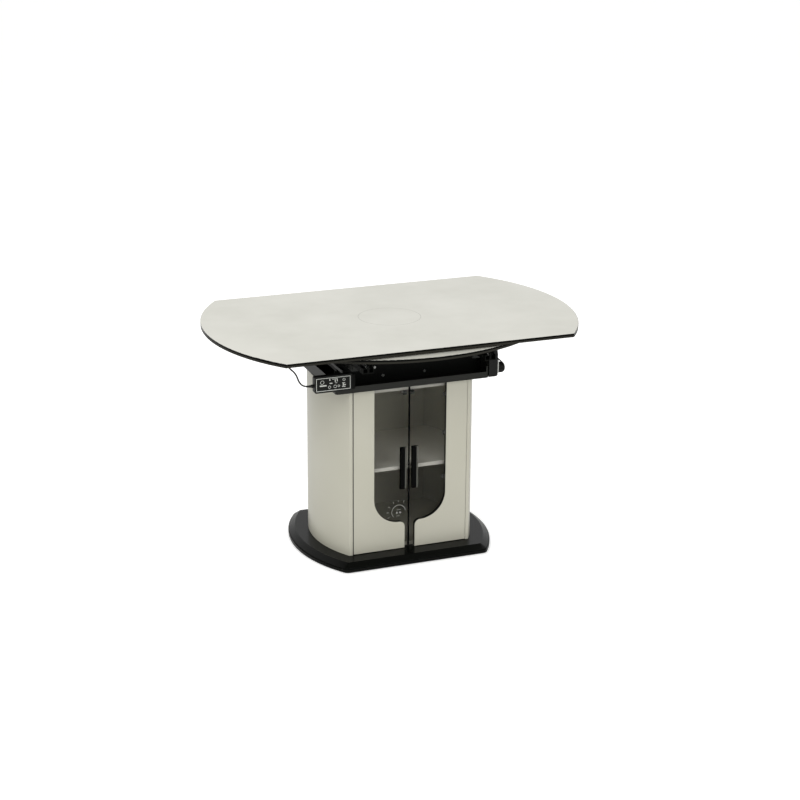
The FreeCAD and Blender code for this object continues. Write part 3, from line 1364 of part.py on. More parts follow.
def make_control():
    """Wired touch control for the hob, on a bracket at the frame's front left."""
    front, back = CONTROL_FRONT, CONTROL_BACK
    x = span(-S.control_left, S.control_length)
    z = span(CONTROL_BOTTOM, S.control_height)
    case = box("ControlCase", x, (front, back), z)

    def side_edge(edge):
        return edge.BoundBox.XLength + edge.BoundBox.ZLength < edge.BoundBox.YLength * STRAIGHT_SHARE

    soft = rounded("ControlRound", case, S.control_round, side_edge)
    border = S.control_fascia_border
    seat_y = (front - S.cut_overrun, front + S.control_fascia_thickness)
    seat = box("FasciaSeat", (x[0] + border, x[1] - border), seat_y, (z[0] + border, z[1] - border))
    node(cut("Control", soft, [seat]), "control_case")
    gap = S.board_gap
    node(box("Fascia", (x[0] + border + gap, x[1] - border - gap),
             span(front, S.control_fascia_thickness),
             (z[0] + border + gap, z[1] - border - gap)), "control_fascia")
    plate_x = (-S.control_bracket_right - S.control_bracket_width, -S.control_bracket_right)
    plate = box("BracketPlate", plate_x, (back, -(S.tray_width / 2)),
                span(TRAY_BOTTOM + S.control_bracket_rise, S.control_bracket_height))

    def right_front(edge):
        place = edge.BoundBox
        right_side = place.XMin > plate_x[1].number - NEARBY
        return upright(edge) and right_side and place.YMax < back.number + NEARBY

    node(rounded("ControlBracket", plate, S.control_bracket_round, right_front), "control_bracket")


def make_glands():
    """Glands at both ends of the cord, the mains gland, the cheek's grommet and the cord clip."""
    wall = S.hob_length / 2
    left = -S.control_left
    control = rod("ControlGland", S.gland_radius, "x", (left - S.gland_length, left), -S.cord_exit_setback,
                  CORD_EXIT_HEIGHT)
    hob = rod("HobGland", S.gland_radius, "x", (-wall - S.gland_length, -wall), -S.cord_entry_place,
              CORD_ENTRY_HEIGHT)
    over = S.cut_overrun
    mains = rod("MainsGland", S.gland_radius, "y", MAINS_PLACE, span(wall, S.gland_length),
                CORD_ENTRY_HEIGHT)
    mains_bore = rod("MainsBore", CORD_BORE, "y", MAINS_PLACE,
                     (wall - over, wall + S.gland_length + over), CORD_ENTRY_HEIGHT)
    sleeve_x = sided(-1, S.cheek_distance - S.cheek_thickness, S.cheek_distance)
    lips = [
        rod(f"GrommetLip{number}", S.gland_radius + S.grommet_lip, "x", reach, -S.cord_entry_place,
            CORD_ENTRY_HEIGHT)
        for number, reach in enumerate(((sleeve_x[0] - S.grommet_lip, sleeve_x[0]),
                                        (sleeve_x[1], sleeve_x[1] + S.grommet_lip)))
    ]
    sleeve = rod("GrommetSleeve", S.gland_radius, "x", sleeve_x, -S.cord_entry_place, CORD_ENTRY_HEIGHT)
    tunnel = rod("GrommetTunnel", CORD_BORE, "x", (sleeve_x[0] - over, sleeve_x[1] + over),
                 -S.cord_entry_place, CORD_ENTRY_HEIGHT)
    clip_x = middle(S.cord_clip_width)
    clip_x = (clip_x[0] - S.cord_clip_place, clip_x[1] - S.cord_clip_place)
    clip_half = CORD_BORE + S.cord_clip_wall
    clip_y = (-S.cord_entry_place - clip_half, -S.cord_entry_place + clip_half)
    clip = box("CordClip", clip_x, clip_y, (CORD_CLIP_HEIGHT - clip_half, BOARD_BOTTOM))
    clip_bore = rod("CordClipBore", CORD_BORE, "x", (clip_x[0] - over, clip_x[1] + over),
                    -S.cord_entry_place, CORD_CLIP_HEIGHT)
    node(gather("Glands", [
        control,
        hob,
        cut("MainsInlet", mains, [mains_bore]),
        cut("Grommet", fuse("GrommetBody", lips + [sleeve]), [tunnel]),
        cut("Clip", clip, [clip_bore]),
    ]), "cord_glands")


def cord_route():
    """Corners of the control cord from the control box, through its clip and the grommet, to the hob."""
    sweep = [
        (-21.5, 0, 0), (-38.5, 1.5, 14), (-45, 12.5, 41), (-57.5, 36, 52), (-59.5, 82, 62),
        (-55.5, 111, 96),
    ]
    exit_place = FreeCAD.Vector(-(S.control_left + S.gland_length).number, -S.cord_exit_setback.number,
                                CORD_EXIT_HEIGHT.number)
    clip_place = FreeCAD.Vector(-S.cord_clip_place.number, -S.cord_entry_place.number,
                                CORD_CLIP_HEIGHT.number)
    clip_side = FreeCAD.Vector(S.cord_clip_width.number * 2, 0, 0)
    cheek = FreeCAD.Vector(-S.cheek_distance.number, -S.cord_entry_place.number, CORD_ENTRY_HEIGHT.number)
    entry = FreeCAD.Vector(-(S.hob_length / 2 + S.gland_length).number, cheek.y, cheek.z)
    inner_sweep = [(-32, 0, 0), (15, 0, 0), (42, 0, -4), (66, 0, -4), (89, 0, 0)]
    points = [exit_place]
    points += [exit_place + FreeCAD.Vector(*step) for step in sweep]
    points += [clip_place - clip_side, clip_place + clip_side]
    points += [cheek + FreeCAD.Vector(*step) for step in inner_sweep]
    return points + [entry]


def make_cord():
    """Cord tube: straight runs joined by tangent arcs as large as the runs allow."""
    points = cord_route()
    radius = (S.cord_diameter / 2).number
    edges = []
    total = 0
    start = points[0]
    for before, corner, after in zip(points, points[1:], points[2:]):
        way_in, way_out = (corner - before).normalize(), (after - corner).normalize()
        half = way_in.getAngle(way_out) / 2
        reach = min((corner - before).Length, (after - corner).Length) * CORD_ARC_SHARE
        first, last = corner - way_in * reach, corner + way_out * reach
        bend = reach / math.tan(half)
        inward = (way_out - way_in).normalize()
        across = corner + inward * (bend / math.cos(half) - bend)
        edges.append(Part.LineSegment(start, first).toShape())
        edges.append(Part.Arc(first, across, last).toShape())
        total += (first - start).Length + bend * half * 2
        start = last
        print(f"cord bend {bend:.0f} mm, turn {math.degrees(half * 2):.0f} degrees")
    edges.append(Part.LineSegment(start, points[-1]).toShape())
    total += (points[-1] - start).Length
    ring = Part.Wire(Part.makeCircle(radius, points[0], (points[1] - points[0]).normalize()))
    tube = Part.Wire(edges).makePipeShell([ring], True, False)
    print(f"cord length {total:.1f} mm, volume {tube.Volume:.1f}, section times length "
          f"{math.pi * radius * radius * total:.1f}")
    cord = DOC.addObject("Part::Feature", "Cord")
    cord.Shape = tube
    node(cord, "control_cord")


def make_lock():
    """Quarter-turn slide lock: block with a sloping hood and an upright plate, steel plate and knob."""
    side = S.tray_length / 2
    x = span(side, S.lock_width)
    y = span(-(S.tray_width / 2), S.lock_depth)
    z = span(LOCK_BOTTOM, S.lock_height)
    block = box("LockBlock", x, y, z)

    def low_outer(edge):
        box_of = edge.BoundBox
        along_y = box_of.XLength + box_of.ZLength < box_of.YLength * STRAIGHT_SHARE
        return along_y and box_of.XMin > x[1].number - NEARBY and box_of.ZMax < z[0].number + NEARBY

    soft = rounded("LockRound", block, S.lock_round, low_outer)
    thick = S.hood_thickness
    hood_high = z[1] - S.hood_start_drop
    hood_low = hood_high - S.hood_drop
    hood_points = [
        (x[1] - thick, hood_high), (x[1], hood_high), (x[1] + S.hood_reach, hood_low),
        (x[1] + S.hood_reach - thick, hood_low), (x[1] - thick, hood_high - thick * 2),
    ]
    hood = profile("LockHood", "XZ_Plane", hood_points, S.hood_width)
    axis_y = LOCK_AXIS_PLACE
    put(hood, ZERO, axis_y + S.hood_width / 2, ZERO)
    stem_x = (x[1] - S.knob_stem_length, x[1] + S.washer_thickness + S.knob_gap)
    bore_x = (stem_x[0] - S.knob_gap, x[1] + S.cut_overrun)
    bore = rod("LockBore", S.knob_stem_radius + S.knob_stem_clearance, "x", bore_x, axis_y, LOCK_AXIS_HEIGHT)
    plate_low = z[1] - S.lock_plate_lap
    plate_high = z[1] + S.lock_plate_height
    plate_points = [
        (x[0] - S.lock_plate_overhang, plate_low), (x[1], plate_low),
        (x[1] - S.lock_plate_taper, plate_high), (x[0] - S.lock_plate_overhang, plate_high),
    ]
    plate = profile("LockPlate", "XZ_Plane", plate_points, S.lock_plate_thickness)
    put(plate, ZERO, y[0] + S.lock_plate_thickness, ZERO)
    node(cut("Lock", fuse("LockBody", [soft, hood, plate]), [bore]), "lock_block")
    washer_x = span(x[1], S.washer_thickness)
    washer = box("WasherPlate", washer_x, y, span(LOCK_AXIS_HEIGHT - S.washer_axis_rise, S.washer_height))
    washer_bore = rod("WasherBore", S.knob_stem_radius + S.knob_stem_clearance, "x",
                      (washer_x[0] - S.cut_overrun, washer_x[1] + S.cut_overrun), axis_y, LOCK_AXIS_HEIGHT)
    node(cut("Washer", washer, [washer_bore]), "lock_washer")
    knob_x = span(stem_x[1], S.knob_length)
    disc = rod("KnobDisc", S.knob_radius, "x", knob_x, axis_y, LOCK_AXIS_HEIGHT)

    def outer_rim(edge):
        at_end = abs(edge.BoundBox.XMin - knob_x[1].number) < SAME_PLACE
        return at_end and edge.BoundBox.XLength < SAME_PLACE

    soft_disc = rounded("KnobRound", disc, S.knob_round, outer_rim)
    stem = rod("KnobStem", S.knob_stem_radius, "x", stem_x, axis_y, LOCK_AXIS_HEIGHT)
    grip_x = (knob_x[0] - S.cut_overrun, knob_x[1] + S.cut_overrun)
    grips = [
        rod(f"KnobGrip{grip_side + 1}", S.knob_stem_radius, "x", grip_x,
            axis_y + S.knob_radius * GRIP_PLACE_SHARE * grip_side, LOCK_AXIS_HEIGHT)
        for grip_side in (-1, 1)
    ]
    node(fuse("Knob", [cut("KnobGripped", soft_disc, grips), stem]), "lock_knob")


def check_and_write():
    """Stop on any failed object, then write one STEP file for each sub-part."""
    DOC.recompute()
    failed = [thing.Name for thing in DOC.Objects if {"Invalid", "Error"} & set(thing.State)]
    if failed:
        raise RuntimeError(f"failed objects: {failed}")
    for made in NODES:
        shape = made.Shape
        if shape.isNull() or not shape.isValid():
            raise RuntimeError(f"{made.Label} has no valid shape")
    os.makedirs("parts", exist_ok=True)
    for made in NODES:
        made.Shape.exportStep(f"parts/{made.Label}.step")
        print(f"{made.Label}: {len(made.Shape.Solids)} solids, {made.Shape.Volume / 1000:.1f} cm3")
    print(f"{len(NODES)} sub-parts")


make_plinth()
make_cabinet()
make_hinge_arms()
make_door(-1, "left")
make_door(1, "right")
make_tray()
make_webs()
make_cheeks()
make_rails()
make_screws()
make_top()
make_leaf(-1, "front", S.front_rail_distance)
make_leaf(1, "rear", S.rear_rail_distance)
make_hob()
make_control()
make_glands()
make_cord()
make_lock()
check_and_write()
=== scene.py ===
import math

import bmesh
import bpy
from mathutils import Matrix, Vector


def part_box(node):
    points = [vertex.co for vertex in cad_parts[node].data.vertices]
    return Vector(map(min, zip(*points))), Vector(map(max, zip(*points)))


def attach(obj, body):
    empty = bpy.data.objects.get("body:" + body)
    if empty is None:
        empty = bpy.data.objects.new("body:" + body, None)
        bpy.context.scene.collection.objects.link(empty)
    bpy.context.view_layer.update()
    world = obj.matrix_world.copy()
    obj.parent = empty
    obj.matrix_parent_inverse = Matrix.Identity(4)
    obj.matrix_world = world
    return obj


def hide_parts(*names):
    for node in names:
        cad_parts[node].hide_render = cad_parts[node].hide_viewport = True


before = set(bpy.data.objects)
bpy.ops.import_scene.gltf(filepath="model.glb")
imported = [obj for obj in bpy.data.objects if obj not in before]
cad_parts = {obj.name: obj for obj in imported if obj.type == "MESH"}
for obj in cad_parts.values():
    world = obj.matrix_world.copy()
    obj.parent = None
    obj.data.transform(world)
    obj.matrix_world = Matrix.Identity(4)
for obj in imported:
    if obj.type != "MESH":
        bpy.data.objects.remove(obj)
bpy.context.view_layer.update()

MM = 0.001

# Viewpoint: about 19 degrees above the table and 21 degrees to the left of its front
CAMERA_PLACE = Vector((-2.0988, -5.4217, 2.4074))
CAMERA_RIGHT = Vector((0.9331, -0.3595, 0.0048))
CAMERA_UP = Vector((0.1138, 0.3079, 0.9446))
CAMERA_SENSOR = 36
CAMERA_LENS = 85.27
CAMERA_SHIFT = (0.0137, 0.030)

# Control cord from the touch control, up round the frame's end and across to the hob
CORD_DIAMETER = 5 * MM
CORD_ROUTE = [
    (-342, -230, 624.5), (-363.5, -230, 624.5), (-380.5, -228.5, 638.5), (-387, -217.5, 665.5),
    (-399.5, -194, 676.5), (-401.5, -148, 686.5), (-397.5, -119, 720.5), (-367, -100, 729),
    (-327, -100, 729), (-275, -100, 705), (-228, -100, 705), (-201, -100, 701),
    (-177, -100, 701), (-154, -100, 705), (-132, -100, 705),
]

# Printed ring round the hob's cooking place
HOB_RING_RADIUS = 100 * MM
HOB_RING_LINE = 1.6 * MM

# Black on the doors: the window's cut edge lies within this reach of the middle and this far from the
# panels' ends; painted shade of the seam darkens the left door's outer edge up to this place
WINDOW_REACH = 122.5 * MM
PANEL_END_SKIP = 1 * MM
SEAM_SHADE_PLACE = -190.8 * MM

# Width of the painted highlight along the right side of each handle, and how far below the catch the strike
# plates begin
HANDLE_HIGHLIGHT_WIDTH = 7 * MM
STRIKE_REACH = 6 * MM

# Share of a surface's direction past which it faces up, and below which it doesn't face along the depth
FACES_UP = 0.8
FACES_ASIDE = 0.5


def linear(code):
    """Linear colour of an sRGB hex value."""
    shares = [int(code[start:start + 2], 16) / 255 for start in (1, 3, 5)]
    straight = [
        share / 12.92 if share <= 0.04045 else ((share + 0.055) / 1.055) ** 2.4
        for share in shares
    ]
    return straight + [1.0]


def add(tree, kind, settings=None, links=None):
    """Add a node, give its properties and sockets their values, and link its inputs."""
    node = tree.nodes.new(kind)
    for name, value in (settings or {}).items():
        if isinstance(name, int) or name in node.inputs:
            node.inputs[name].default_value = value
        else:
            setattr(node, name, value)
    for name, source in (links or {}).items():
        tree.links.new(source, node.inputs[name])
    return node


def new_finish(name, color, **shader_values):
    """Material with one Principled shader, whose sockets take the given values."""
    material = bpy.data.materials.new(name)
    material.use_nodes = True
    tree = material.node_tree
    shader = tree.nodes["Principled BSDF"]
    shader.inputs["Base Color"].default_value = linear(color)
    for key, value in shader_values.items():
        shader.inputs[key.replace("_", " ")].default_value = value
    return material, tree, shader


def place_parts(tree):
    """X, Y and Z of a point in the table's own frame, in metres."""
    place = add(tree, "ShaderNodeTexCoord").outputs["Object"]
    return add(tree, "ShaderNodeSeparateXYZ", links={0: place}).outputs


def facing_parts(tree):
    """X, Y and Z of the way that the surface faces."""
    normal = add(tree, "ShaderNodeNewGeometry").outputs["Normal"]
    return add(tree, "ShaderNodeSeparateXYZ", links={0: normal}).outputs


def grain(tree, size, detail=2.0, stretch=(1, 1, 1)):
    """Noise whose features are about a real size across."""
    place = add(tree, "ShaderNodeTexCoord").outputs["Object"]
    mapping = add(tree, "ShaderNodeMapping", {"Scale": stretch}, {"Vector": place})
    return add(tree, "ShaderNodeTexNoise", {"Scale": 1 / size, "Detail": detail},
               {"Vector": mapping.outputs[0]}).outputs["Fac"]


def grainy_relief(tree, shader, size, depth, detail=2.0, stretch=(1, 1, 1)):
    """Relief on the surface with grains of a real size and depth."""
    node = add(tree, "ShaderNodeBump", {"Distance": depth, "Strength": 1.0},
               {"Height": grain(tree, size, detail, stretch)})
    tree.links.new(node.outputs["Normal"], shader.inputs["Normal"])


def tint_between(tree, factor, first, second, low, high):
    """Colour that goes from one tint to another as a factor rises."""
    ramp = add(tree, "ShaderNodeMapRange", {"From Min": low, "From Max": high}, {"Value": factor})
    return add(tree, "ShaderNodeMix", {"data_type": "RGBA", 6: linear(first), 7: linear(second)},
               {0: ramp.outputs[0]}).outputs[2]


def board_lacquer(name):
    """Satin lacquer with its colour left free: returns the material, its tree, its shader and the cream."""
    material, tree, shader = new_finish(name, "#B6B4A6", Roughness=0.36, Coat_Weight=0.2,
                                        Coat_Roughness=0.25)
    cream = tint_between(tree, grain(tree, 240 * MM, 1), "#B2B0A1", "#B6B4A6", 0.3, 0.7)
    grainy_relief(tree, shader, 2.2 * MM, 0.02 * MM, 1)
    return material, tree, shader, cream


def lacquered_board():
    """Satin polyurethane lacquer sprayed on fibreboard: even greige, soft sheen, faint orange peel."""
    material, tree, shader, cream = board_lacquer("lacquered_board")
    tree.links.new(cream, shader.inputs["Base Color"])
    return material


def white_melamine():
    """Melamine foil on the lid and shelf: paler than the lacquer, with a dull sheen."""
    material, tree, shader = new_finish("white_melamine", "#D8D6CB", Roughness=0.45)
    grainy_relief(tree, shader, 1.6 * MM, 0.015 * MM, 1)
    return material


def lacquered_door():
    """The same lacquer on the doors, with the window's cut edge black and painted shade darkening the left
    door's outer edge at its seam.
    """
    material, tree, shader, cream = board_lacquer("lacquered_door")
    place, facing = place_parts(tree), facing_parts(tree)
    depth_share = add(tree, "ShaderNodeMath", {"operation": "ABSOLUTE"}, {0: facing["Y"]})
    from_middle = add(tree, "ShaderNodeMath", {"operation": "ABSOLUTE"}, {0: place["X"]})
    low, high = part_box("left_door_panel")
    masks = [
        add(tree, "ShaderNodeMath", {"operation": test, 1: limit}, {0: source}).outputs[0]
        for source, test, limit in (
            (depth_share.outputs[0], "LESS_THAN", FACES_ASIDE),
            (from_middle.outputs[0], "LESS_THAN", WINDOW_REACH),
            (place["Z"], "GREATER_THAN", low.z + PANEL_END_SKIP),
            (place["Z"], "LESS_THAN", high.z - PANEL_END_SKIP),
            (place["X"], "LESS_THAN", SEAM_SHADE_PLACE),
        )
    ]
    # The last mask is painted shade: the dark seam along the left door's outer edge
    painted, seam_shade = masks[0], masks[-1]
    for mask in masks[1:-1]:
        painted = add(tree, "ShaderNodeMath", {"operation": "MULTIPLY"}, {0: painted, 1: mask}).outputs[0]
    edge_black_and_seam_shade = add(tree, "ShaderNodeMath", {"operation": "MAXIMUM"}, {0: painted, 1: seam_shade}).outputs[0]
    # Near black for the window's cut edge and for the painted shade of the seam
    color = add(tree, "ShaderNodeMix", {"data_type": "RGBA", 7: linear("#0C0C0A")},
                {0: edge_black_and_seam_shade, 6: cream}).outputs[2]
    tree.links.new(color, shader.inputs["Base Color"])
    return material


def back_painted_glass():
    """Float glass painted on its back: off-white, faint grey clouds, a hob ring and a black ground edge."""
    material, tree, shader = new_finish("back_painted_glass", "#CAC9BF", Roughness=0.06, IOR=1.5)
    soft = tint_between(tree, grain(tree, 330 * MM, 3), "#C6C5BA", "#D1D0C6", 0.35, 0.65)
    small = tint_between(tree, grain(tree, 90 * MM, 5), "#C3C2B7", "#D4D3C9", 0.3, 0.7)
    blend = add(tree, "ShaderNodeMix", {"data_type": "RGBA", 0: 0.3}, {6: soft, 7: small}).outputs[2]
    place = place_parts(tree)
    flat = add(tree, "ShaderNodeCombineXYZ", links={"X": place["X"], "Y": place["Y"]})
    distance = add(tree, "ShaderNodeVectorMath", {"operation": "LENGTH"}, {0: flat.outputs[0]})
    ring = add(tree, "ShaderNodeMath", {"operation": "COMPARE", 1: HOB_RING_RADIUS, 2: HOB_RING_LINE / 2},
               {0: distance.outputs["Value"]})
    ringed = add(tree, "ShaderNodeMix", {"data_type": "RGBA", 7: linear("#ACABA1")},
                 {0: ring.outputs[0], 6: blend}).outputs[2]
    is_top = add(tree, "ShaderNodeMath", {"operation": "GREATER_THAN", 1: FACES_UP},
                 {0: facing_parts(tree)["Z"]})
    color = add(tree, "ShaderNodeMix", {"data_type": "RGBA", 6: linear("#060605")},
                {0: is_top.outputs[0], 7: ringed}).outputs[2]
    tree.links.new(color, shader.inputs["Base Color"])
    level = add(tree, "ShaderNodeMapRange", {"To Min": 0.04, "To Max": 0.26}, {"Value": is_top.outputs[0]})
    tree.links.new(level.outputs[0], shader.inputs["Specular IOR Level"])
    return material


def edged_board():
    """Dark laminated board under the glass: olive grey film with a fine matt tooth."""
    material, tree, shader = new_finish("edged_board", "#201F19", Roughness=0.55, Specular_IOR_Level=0.2)
    grainy_relief(tree, shader, 1.5 * MM, 0.03 * MM)
    return material


def piano_black_lacquer():
    """High-gloss black lacquer: deep black with soft-edged reflections."""
    return new_finish("piano_black_lacquer", "#0B0C0A", Roughness=0.24, Specular_IOR_Level=0.07,
                      Coat_Weight=0.02, Coat_Roughness=0.05)[0]


def handle_lacquer():
    """Black lacquer on the bar handles, with a grey band of painted highlight along the right side of each.
    """
    material, tree, shader = new_finish("handle_lacquer", "#020202", Roughness=0.4,
                                        Specular_IOR_Level=0.05)
    across = place_parts(tree)["X"]
    left_highlight, right_highlight = [
        add(tree, "ShaderNodeMath", {
            "operation": "COMPARE", 1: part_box(node_name)[1].x - HANDLE_HIGHLIGHT_WIDTH / 2, 2: HANDLE_HIGHLIGHT_WIDTH / 2,
        }, {0: across}).outputs[0]
        for node_name in ("left_door_handle", "right_door_handle")
    ]
    highlighted = add(tree, "ShaderNodeMath", {"operation": "ADD"}, {0: left_highlight, 1: right_highlight})
    # Grey for the painted highlight on each handle's right side
    color = add(tree, "ShaderNodeMix", {"data_type": "RGBA", 6: linear("#020202"), 7: linear("#5A5A54")},
                {0: highlighted.outputs[0]}).outputs[2]
    tree.links.new(color, shader.inputs["Base Color"])
    return material


def powder_coated_steel():
    """Fine-texture black powder coat on folded sheet steel, with a low sheen and a fine pebble grain; its
    near-black colour, darker than the tray's, is painted shade for the plates deep under the top.
    """
    # Near black: the coat deepened as painted shade for the plates under the top
    material, tree, shader = new_finish("powder_coated_steel", "#070806", Roughness=0.6,
                                        Specular_IOR_Level=0.1)
    grainy_relief(tree, shader, 1.1 * MM, 0.06 * MM)
    return material


def frame_tray_coat():
    """The same coat on the tray, a little lighter than the plates inside it: painted light, as the tray's
    walls stand where light reaches them.
    """
    # Lighter than the plates' coat: painted light on the tray's walls
    material, tree, shader = new_finish("frame_tray_coat", "#1A1B17", Roughness=0.45,
                                        Specular_IOR_Level=0.25)
    grainy_relief(tree, shader, 1.4 * MM, 0.04 * MM)
    return material


def shaded_rail_steel():
    """Steel of the rails, runners and lift arms, coloured dark grey as painted shade for their place under
    the top: dull and even.
    """
    # Dark grey is painted shade on steel that sits under the top
    material, tree, shader = new_finish("shaded_rail_steel", "#1E1F1C", Roughness=0.5,
                                        Specular_IOR_Level=0.25)
    grainy_relief(tree, shader, 0.9 * MM, 0.01 * MM, stretch=(1, 0.05, 1))
    return material


def zinc_plated_steel():
    """Bright zinc plating: pale grey metal with faint rolling marks."""
    material, tree, shader = new_finish("zinc_plated_steel", "#B9BAB6", Roughness=0.34, Metallic=1.0)
    grainy_relief(tree, shader, 0.8 * MM, 0.01 * MM, stretch=(1, 0.05, 1))
    return material


def polished_chrome():
    """Decorative chrome plating: a neutral mirror, except on the dark strike plates at the catch."""
    material, tree, shader = new_finish("polished_chrome", "#C6C7C5", Roughness=0.12, Metallic=1.0)
    strikes = add(tree, "ShaderNodeMath", {
        "operation": "GREATER_THAN", 1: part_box("door_catch")[0].z - STRIKE_REACH,
    }, {0: place_parts(tree)["Z"]})
    color = add(tree, "ShaderNodeMix", {"data_type": "RGBA", 6: linear("#C6C7C5"), 7: linear("#353633")},
                {0: strikes.outputs[0]}).outputs[2]
    tree.links.new(color, shader.inputs["Base Color"])
    return material


def smoked_glass():
    """Lightly smoked float glass in a thin pane: dark film over a clear view, with a sharp reflection."""
    return new_finish("smoked_glass", "#0B0C0A", Roughness=0.03, IOR=1.5, Alpha=0.14)[0]


def moulded_abs():
    """Injection-moulded black ABS with a light spark texture."""
    material, tree, shader = new_finish("moulded_abs", "#0B0C0A", Roughness=0.45, Specular_IOR_Level=0.22)
    grainy_relief(tree, shader, 0.9 * MM, 0.03 * MM)
    return material


def display_window():
    """Dark tinted acrylic over the touch keys: glossy, green grey."""
    return new_finish("display_window", "#0B0E0B", Roughness=0.15, Specular_IOR_Level=0.15)[0]


def printed_silver():
    """Screen-printed silver ink: pale grey, dull."""
    return new_finish("printed_silver", "#C4C6C0", Roughness=0.45, Metallic=0.2)[0]


def faint_print():
    """Screen-printed grey marks on the door glass."""
    return new_finish("faint_print", "#8B8C86", Roughness=0.5)[0]


def natural_nylon():
    """Moulded nylon: grey and waxy."""
    return new_finish("natural_nylon", "#6E6D66", Roughness=0.45, Subsurface_Weight=0.1)[0]


def sintered_ferrite():
    """Sintered ferrite bars: charcoal grey ceramic with a dry, even surface."""
    return new_finish("sintered_ferrite", "#2C2C2D", Roughness=0.7)[0]


def litz_copper():
    """Enamelled litz wire wound in a flat spiral: reddish brown rings one strand wide."""
    material, tree, shader = new_finish("litz_copper", "#9A5A34", Roughness=0.35, Metallic=0.7)
    strand_width, groove_depth = 3 * MM, 0.4 * MM
    length = add(tree, "ShaderNodeVectorMath", {"operation": "LENGTH"},
                 {0: add(tree, "ShaderNodeTexCoord").outputs["Object"]})
    rings = add(tree, "ShaderNodeMath", {"operation": "MULTIPLY", 1: math.tau / strand_width},
                {0: length.outputs["Value"]})
    wave = add(tree, "ShaderNodeMath", {"operation": "SINE"}, {0: rings.outputs[0]})
    grooves = add(tree, "ShaderNodeBump", {"Distance": groove_depth, "Strength": 0.6},
                  {"Height": wave.outputs[0]})
    tree.links.new(grooves.outputs["Normal"], shader.inputs["Normal"])
    return material


def solder_mask():
    """Green solder mask over glass fibre."""
    return new_finish("solder_mask", "#1F4A33", Roughness=0.3)[0]


def pvc_jacket():
    """Extruded black PVC: smooth with a soft sheen."""
    return new_finish("pvc_jacket", "#161715", Roughness=0.36)[0]


def cell_rubber():
    """Closed-cell rubber of the glass seal: deep black without a sheen."""
    return new_finish("cell_rubber", "#030303", Roughness=0.9, Specular_IOR_Level=0.04)[0]


def moulded_rubber():
    """Black rubber: dull and dark."""
    return new_finish("moulded_rubber", "#1A1A19", Roughness=0.75)[0]


FINISHES = {
    lacquered_board: ["left_side_panel", "right_side_panel", "left_stile", "right_stile", "back_panel",
                      "cabinet_floor"],
    white_melamine: ["cabinet_lid", "cabinet_shelf"],
    lacquered_door: ["left_door_panel", "right_door_panel"],
    back_painted_glass: ["top_glass", "front_leaf_glass", "rear_leaf_glass"],
    edged_board: ["top_board", "front_leaf_board", "rear_leaf_board"],
    piano_black_lacquer: ["base_plinth"],
    handle_lacquer: ["left_door_handle", "right_door_handle"],
    powder_coated_steel: ["front_web", "rear_web", "left_cheek", "right_cheek", "rail_brackets",
                          "front_leaf_crossbar", "rear_leaf_crossbar", "front_lift_brackets",
                          "rear_lift_brackets", "hob_housing", "control_bracket"],
    frame_tray_coat: ["frame_tray"],
    shaded_rail_steel: ["leaf_rails", "front_leaf_runners", "rear_leaf_runners", "front_lift_arms",
                       "rear_lift_arms"],
    zinc_plated_steel: ["front_lift_springs", "rear_lift_springs", "frame_screws", "shelf_pins",
                        "lock_washer"],
    polished_chrome: ["door_hinge_arms", "left_door_hardware", "right_door_hardware"],
    smoked_glass: ["left_door_glass", "right_door_glass"],
    moulded_abs: ["control_case", "lock_block", "lock_knob", "hob_fan_frame", "hob_fan_rotor",
                  "hob_coil_former", "cord_glands"],
    display_window: ["control_fascia"],
    natural_nylon: ["door_catch"],
    sintered_ferrite: ["hob_ferrites"],
    litz_copper: ["hob_coil"],
    solder_mask: ["hob_circuit"],
    pvc_jacket: ["control_cord"],
    moulded_rubber: ["base_feet"],
    cell_rubber: [],
    printed_silver: [],
    faint_print: [],
}
finishes = {}
for make, nodes in FINISHES.items():
    finishes[make.__name__] = make()
    for node_name in nodes:
        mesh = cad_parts[node_name].data
        mesh.materials.clear()
        mesh.materials.append(finishes[make.__name__])


def finished_piece(name, mesh, finish, body):
    """Object at the origin that rides on a body and takes its finish from a slot."""
    piece = bpy.data.objects.new(name, mesh)
    bpy.context.scene.collection.objects.link(piece)
    mesh.materials.clear()
    mesh.materials.append(finishes[finish])
    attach(piece, body)
    return piece


def mesh_from(name, build):
    """Mesh that a function fills, with its normals turned outwards."""
    shape = bmesh.new()
    build(shape)
    bmesh.ops.recalc_face_normals(shape, faces=shape.faces)
    mesh = bpy.data.meshes.new(name)
    shape.to_mesh(mesh)
    shape.free()
    return mesh


def add_block(shape, low, high):
    """Box between two corners."""
    size = Vector(high) - Vector(low)
    middle = (Vector(high) + Vector(low)) / 2
    placed = Matrix.Translation(middle) @ Matrix.Diagonal((*size, 1))
    bmesh.ops.create_cube(shape, size=1.0, matrix=placed)


def add_ring(shape, centre, inner, outer, front, back, steps, start=0.0, turn=360.0):
    """Flat ring or arc that faces -Y, between two depths."""
    closed = turn >= 360
    loops = []
    for step in range(steps if closed else steps + 1):
        angle = math.radians(start + turn * step / steps)
        way = Vector((math.cos(angle), 0, math.sin(angle)))
        base = Vector((centre[0], 0, centre[1]))
        loops.append([
            shape.verts.new(base + way * radius + Vector((0, depth, 0)))
            for radius, depth in ((inner, front), (outer, front), (outer, back), (inner, back))
        ])
    for first, second in zip(loops, loops[1:] + loops[:1] if closed else loops[1:]):
        for side in range(4):
            following = (side + 1) % 4
            shape.faces.new((first[side], first[following], second[following], second[side]))
    if not closed:
        shape.faces.new(loops[0])
        shape.faces.new(loops[-1])


MERGE_DISTANCE = 0.001 * MM


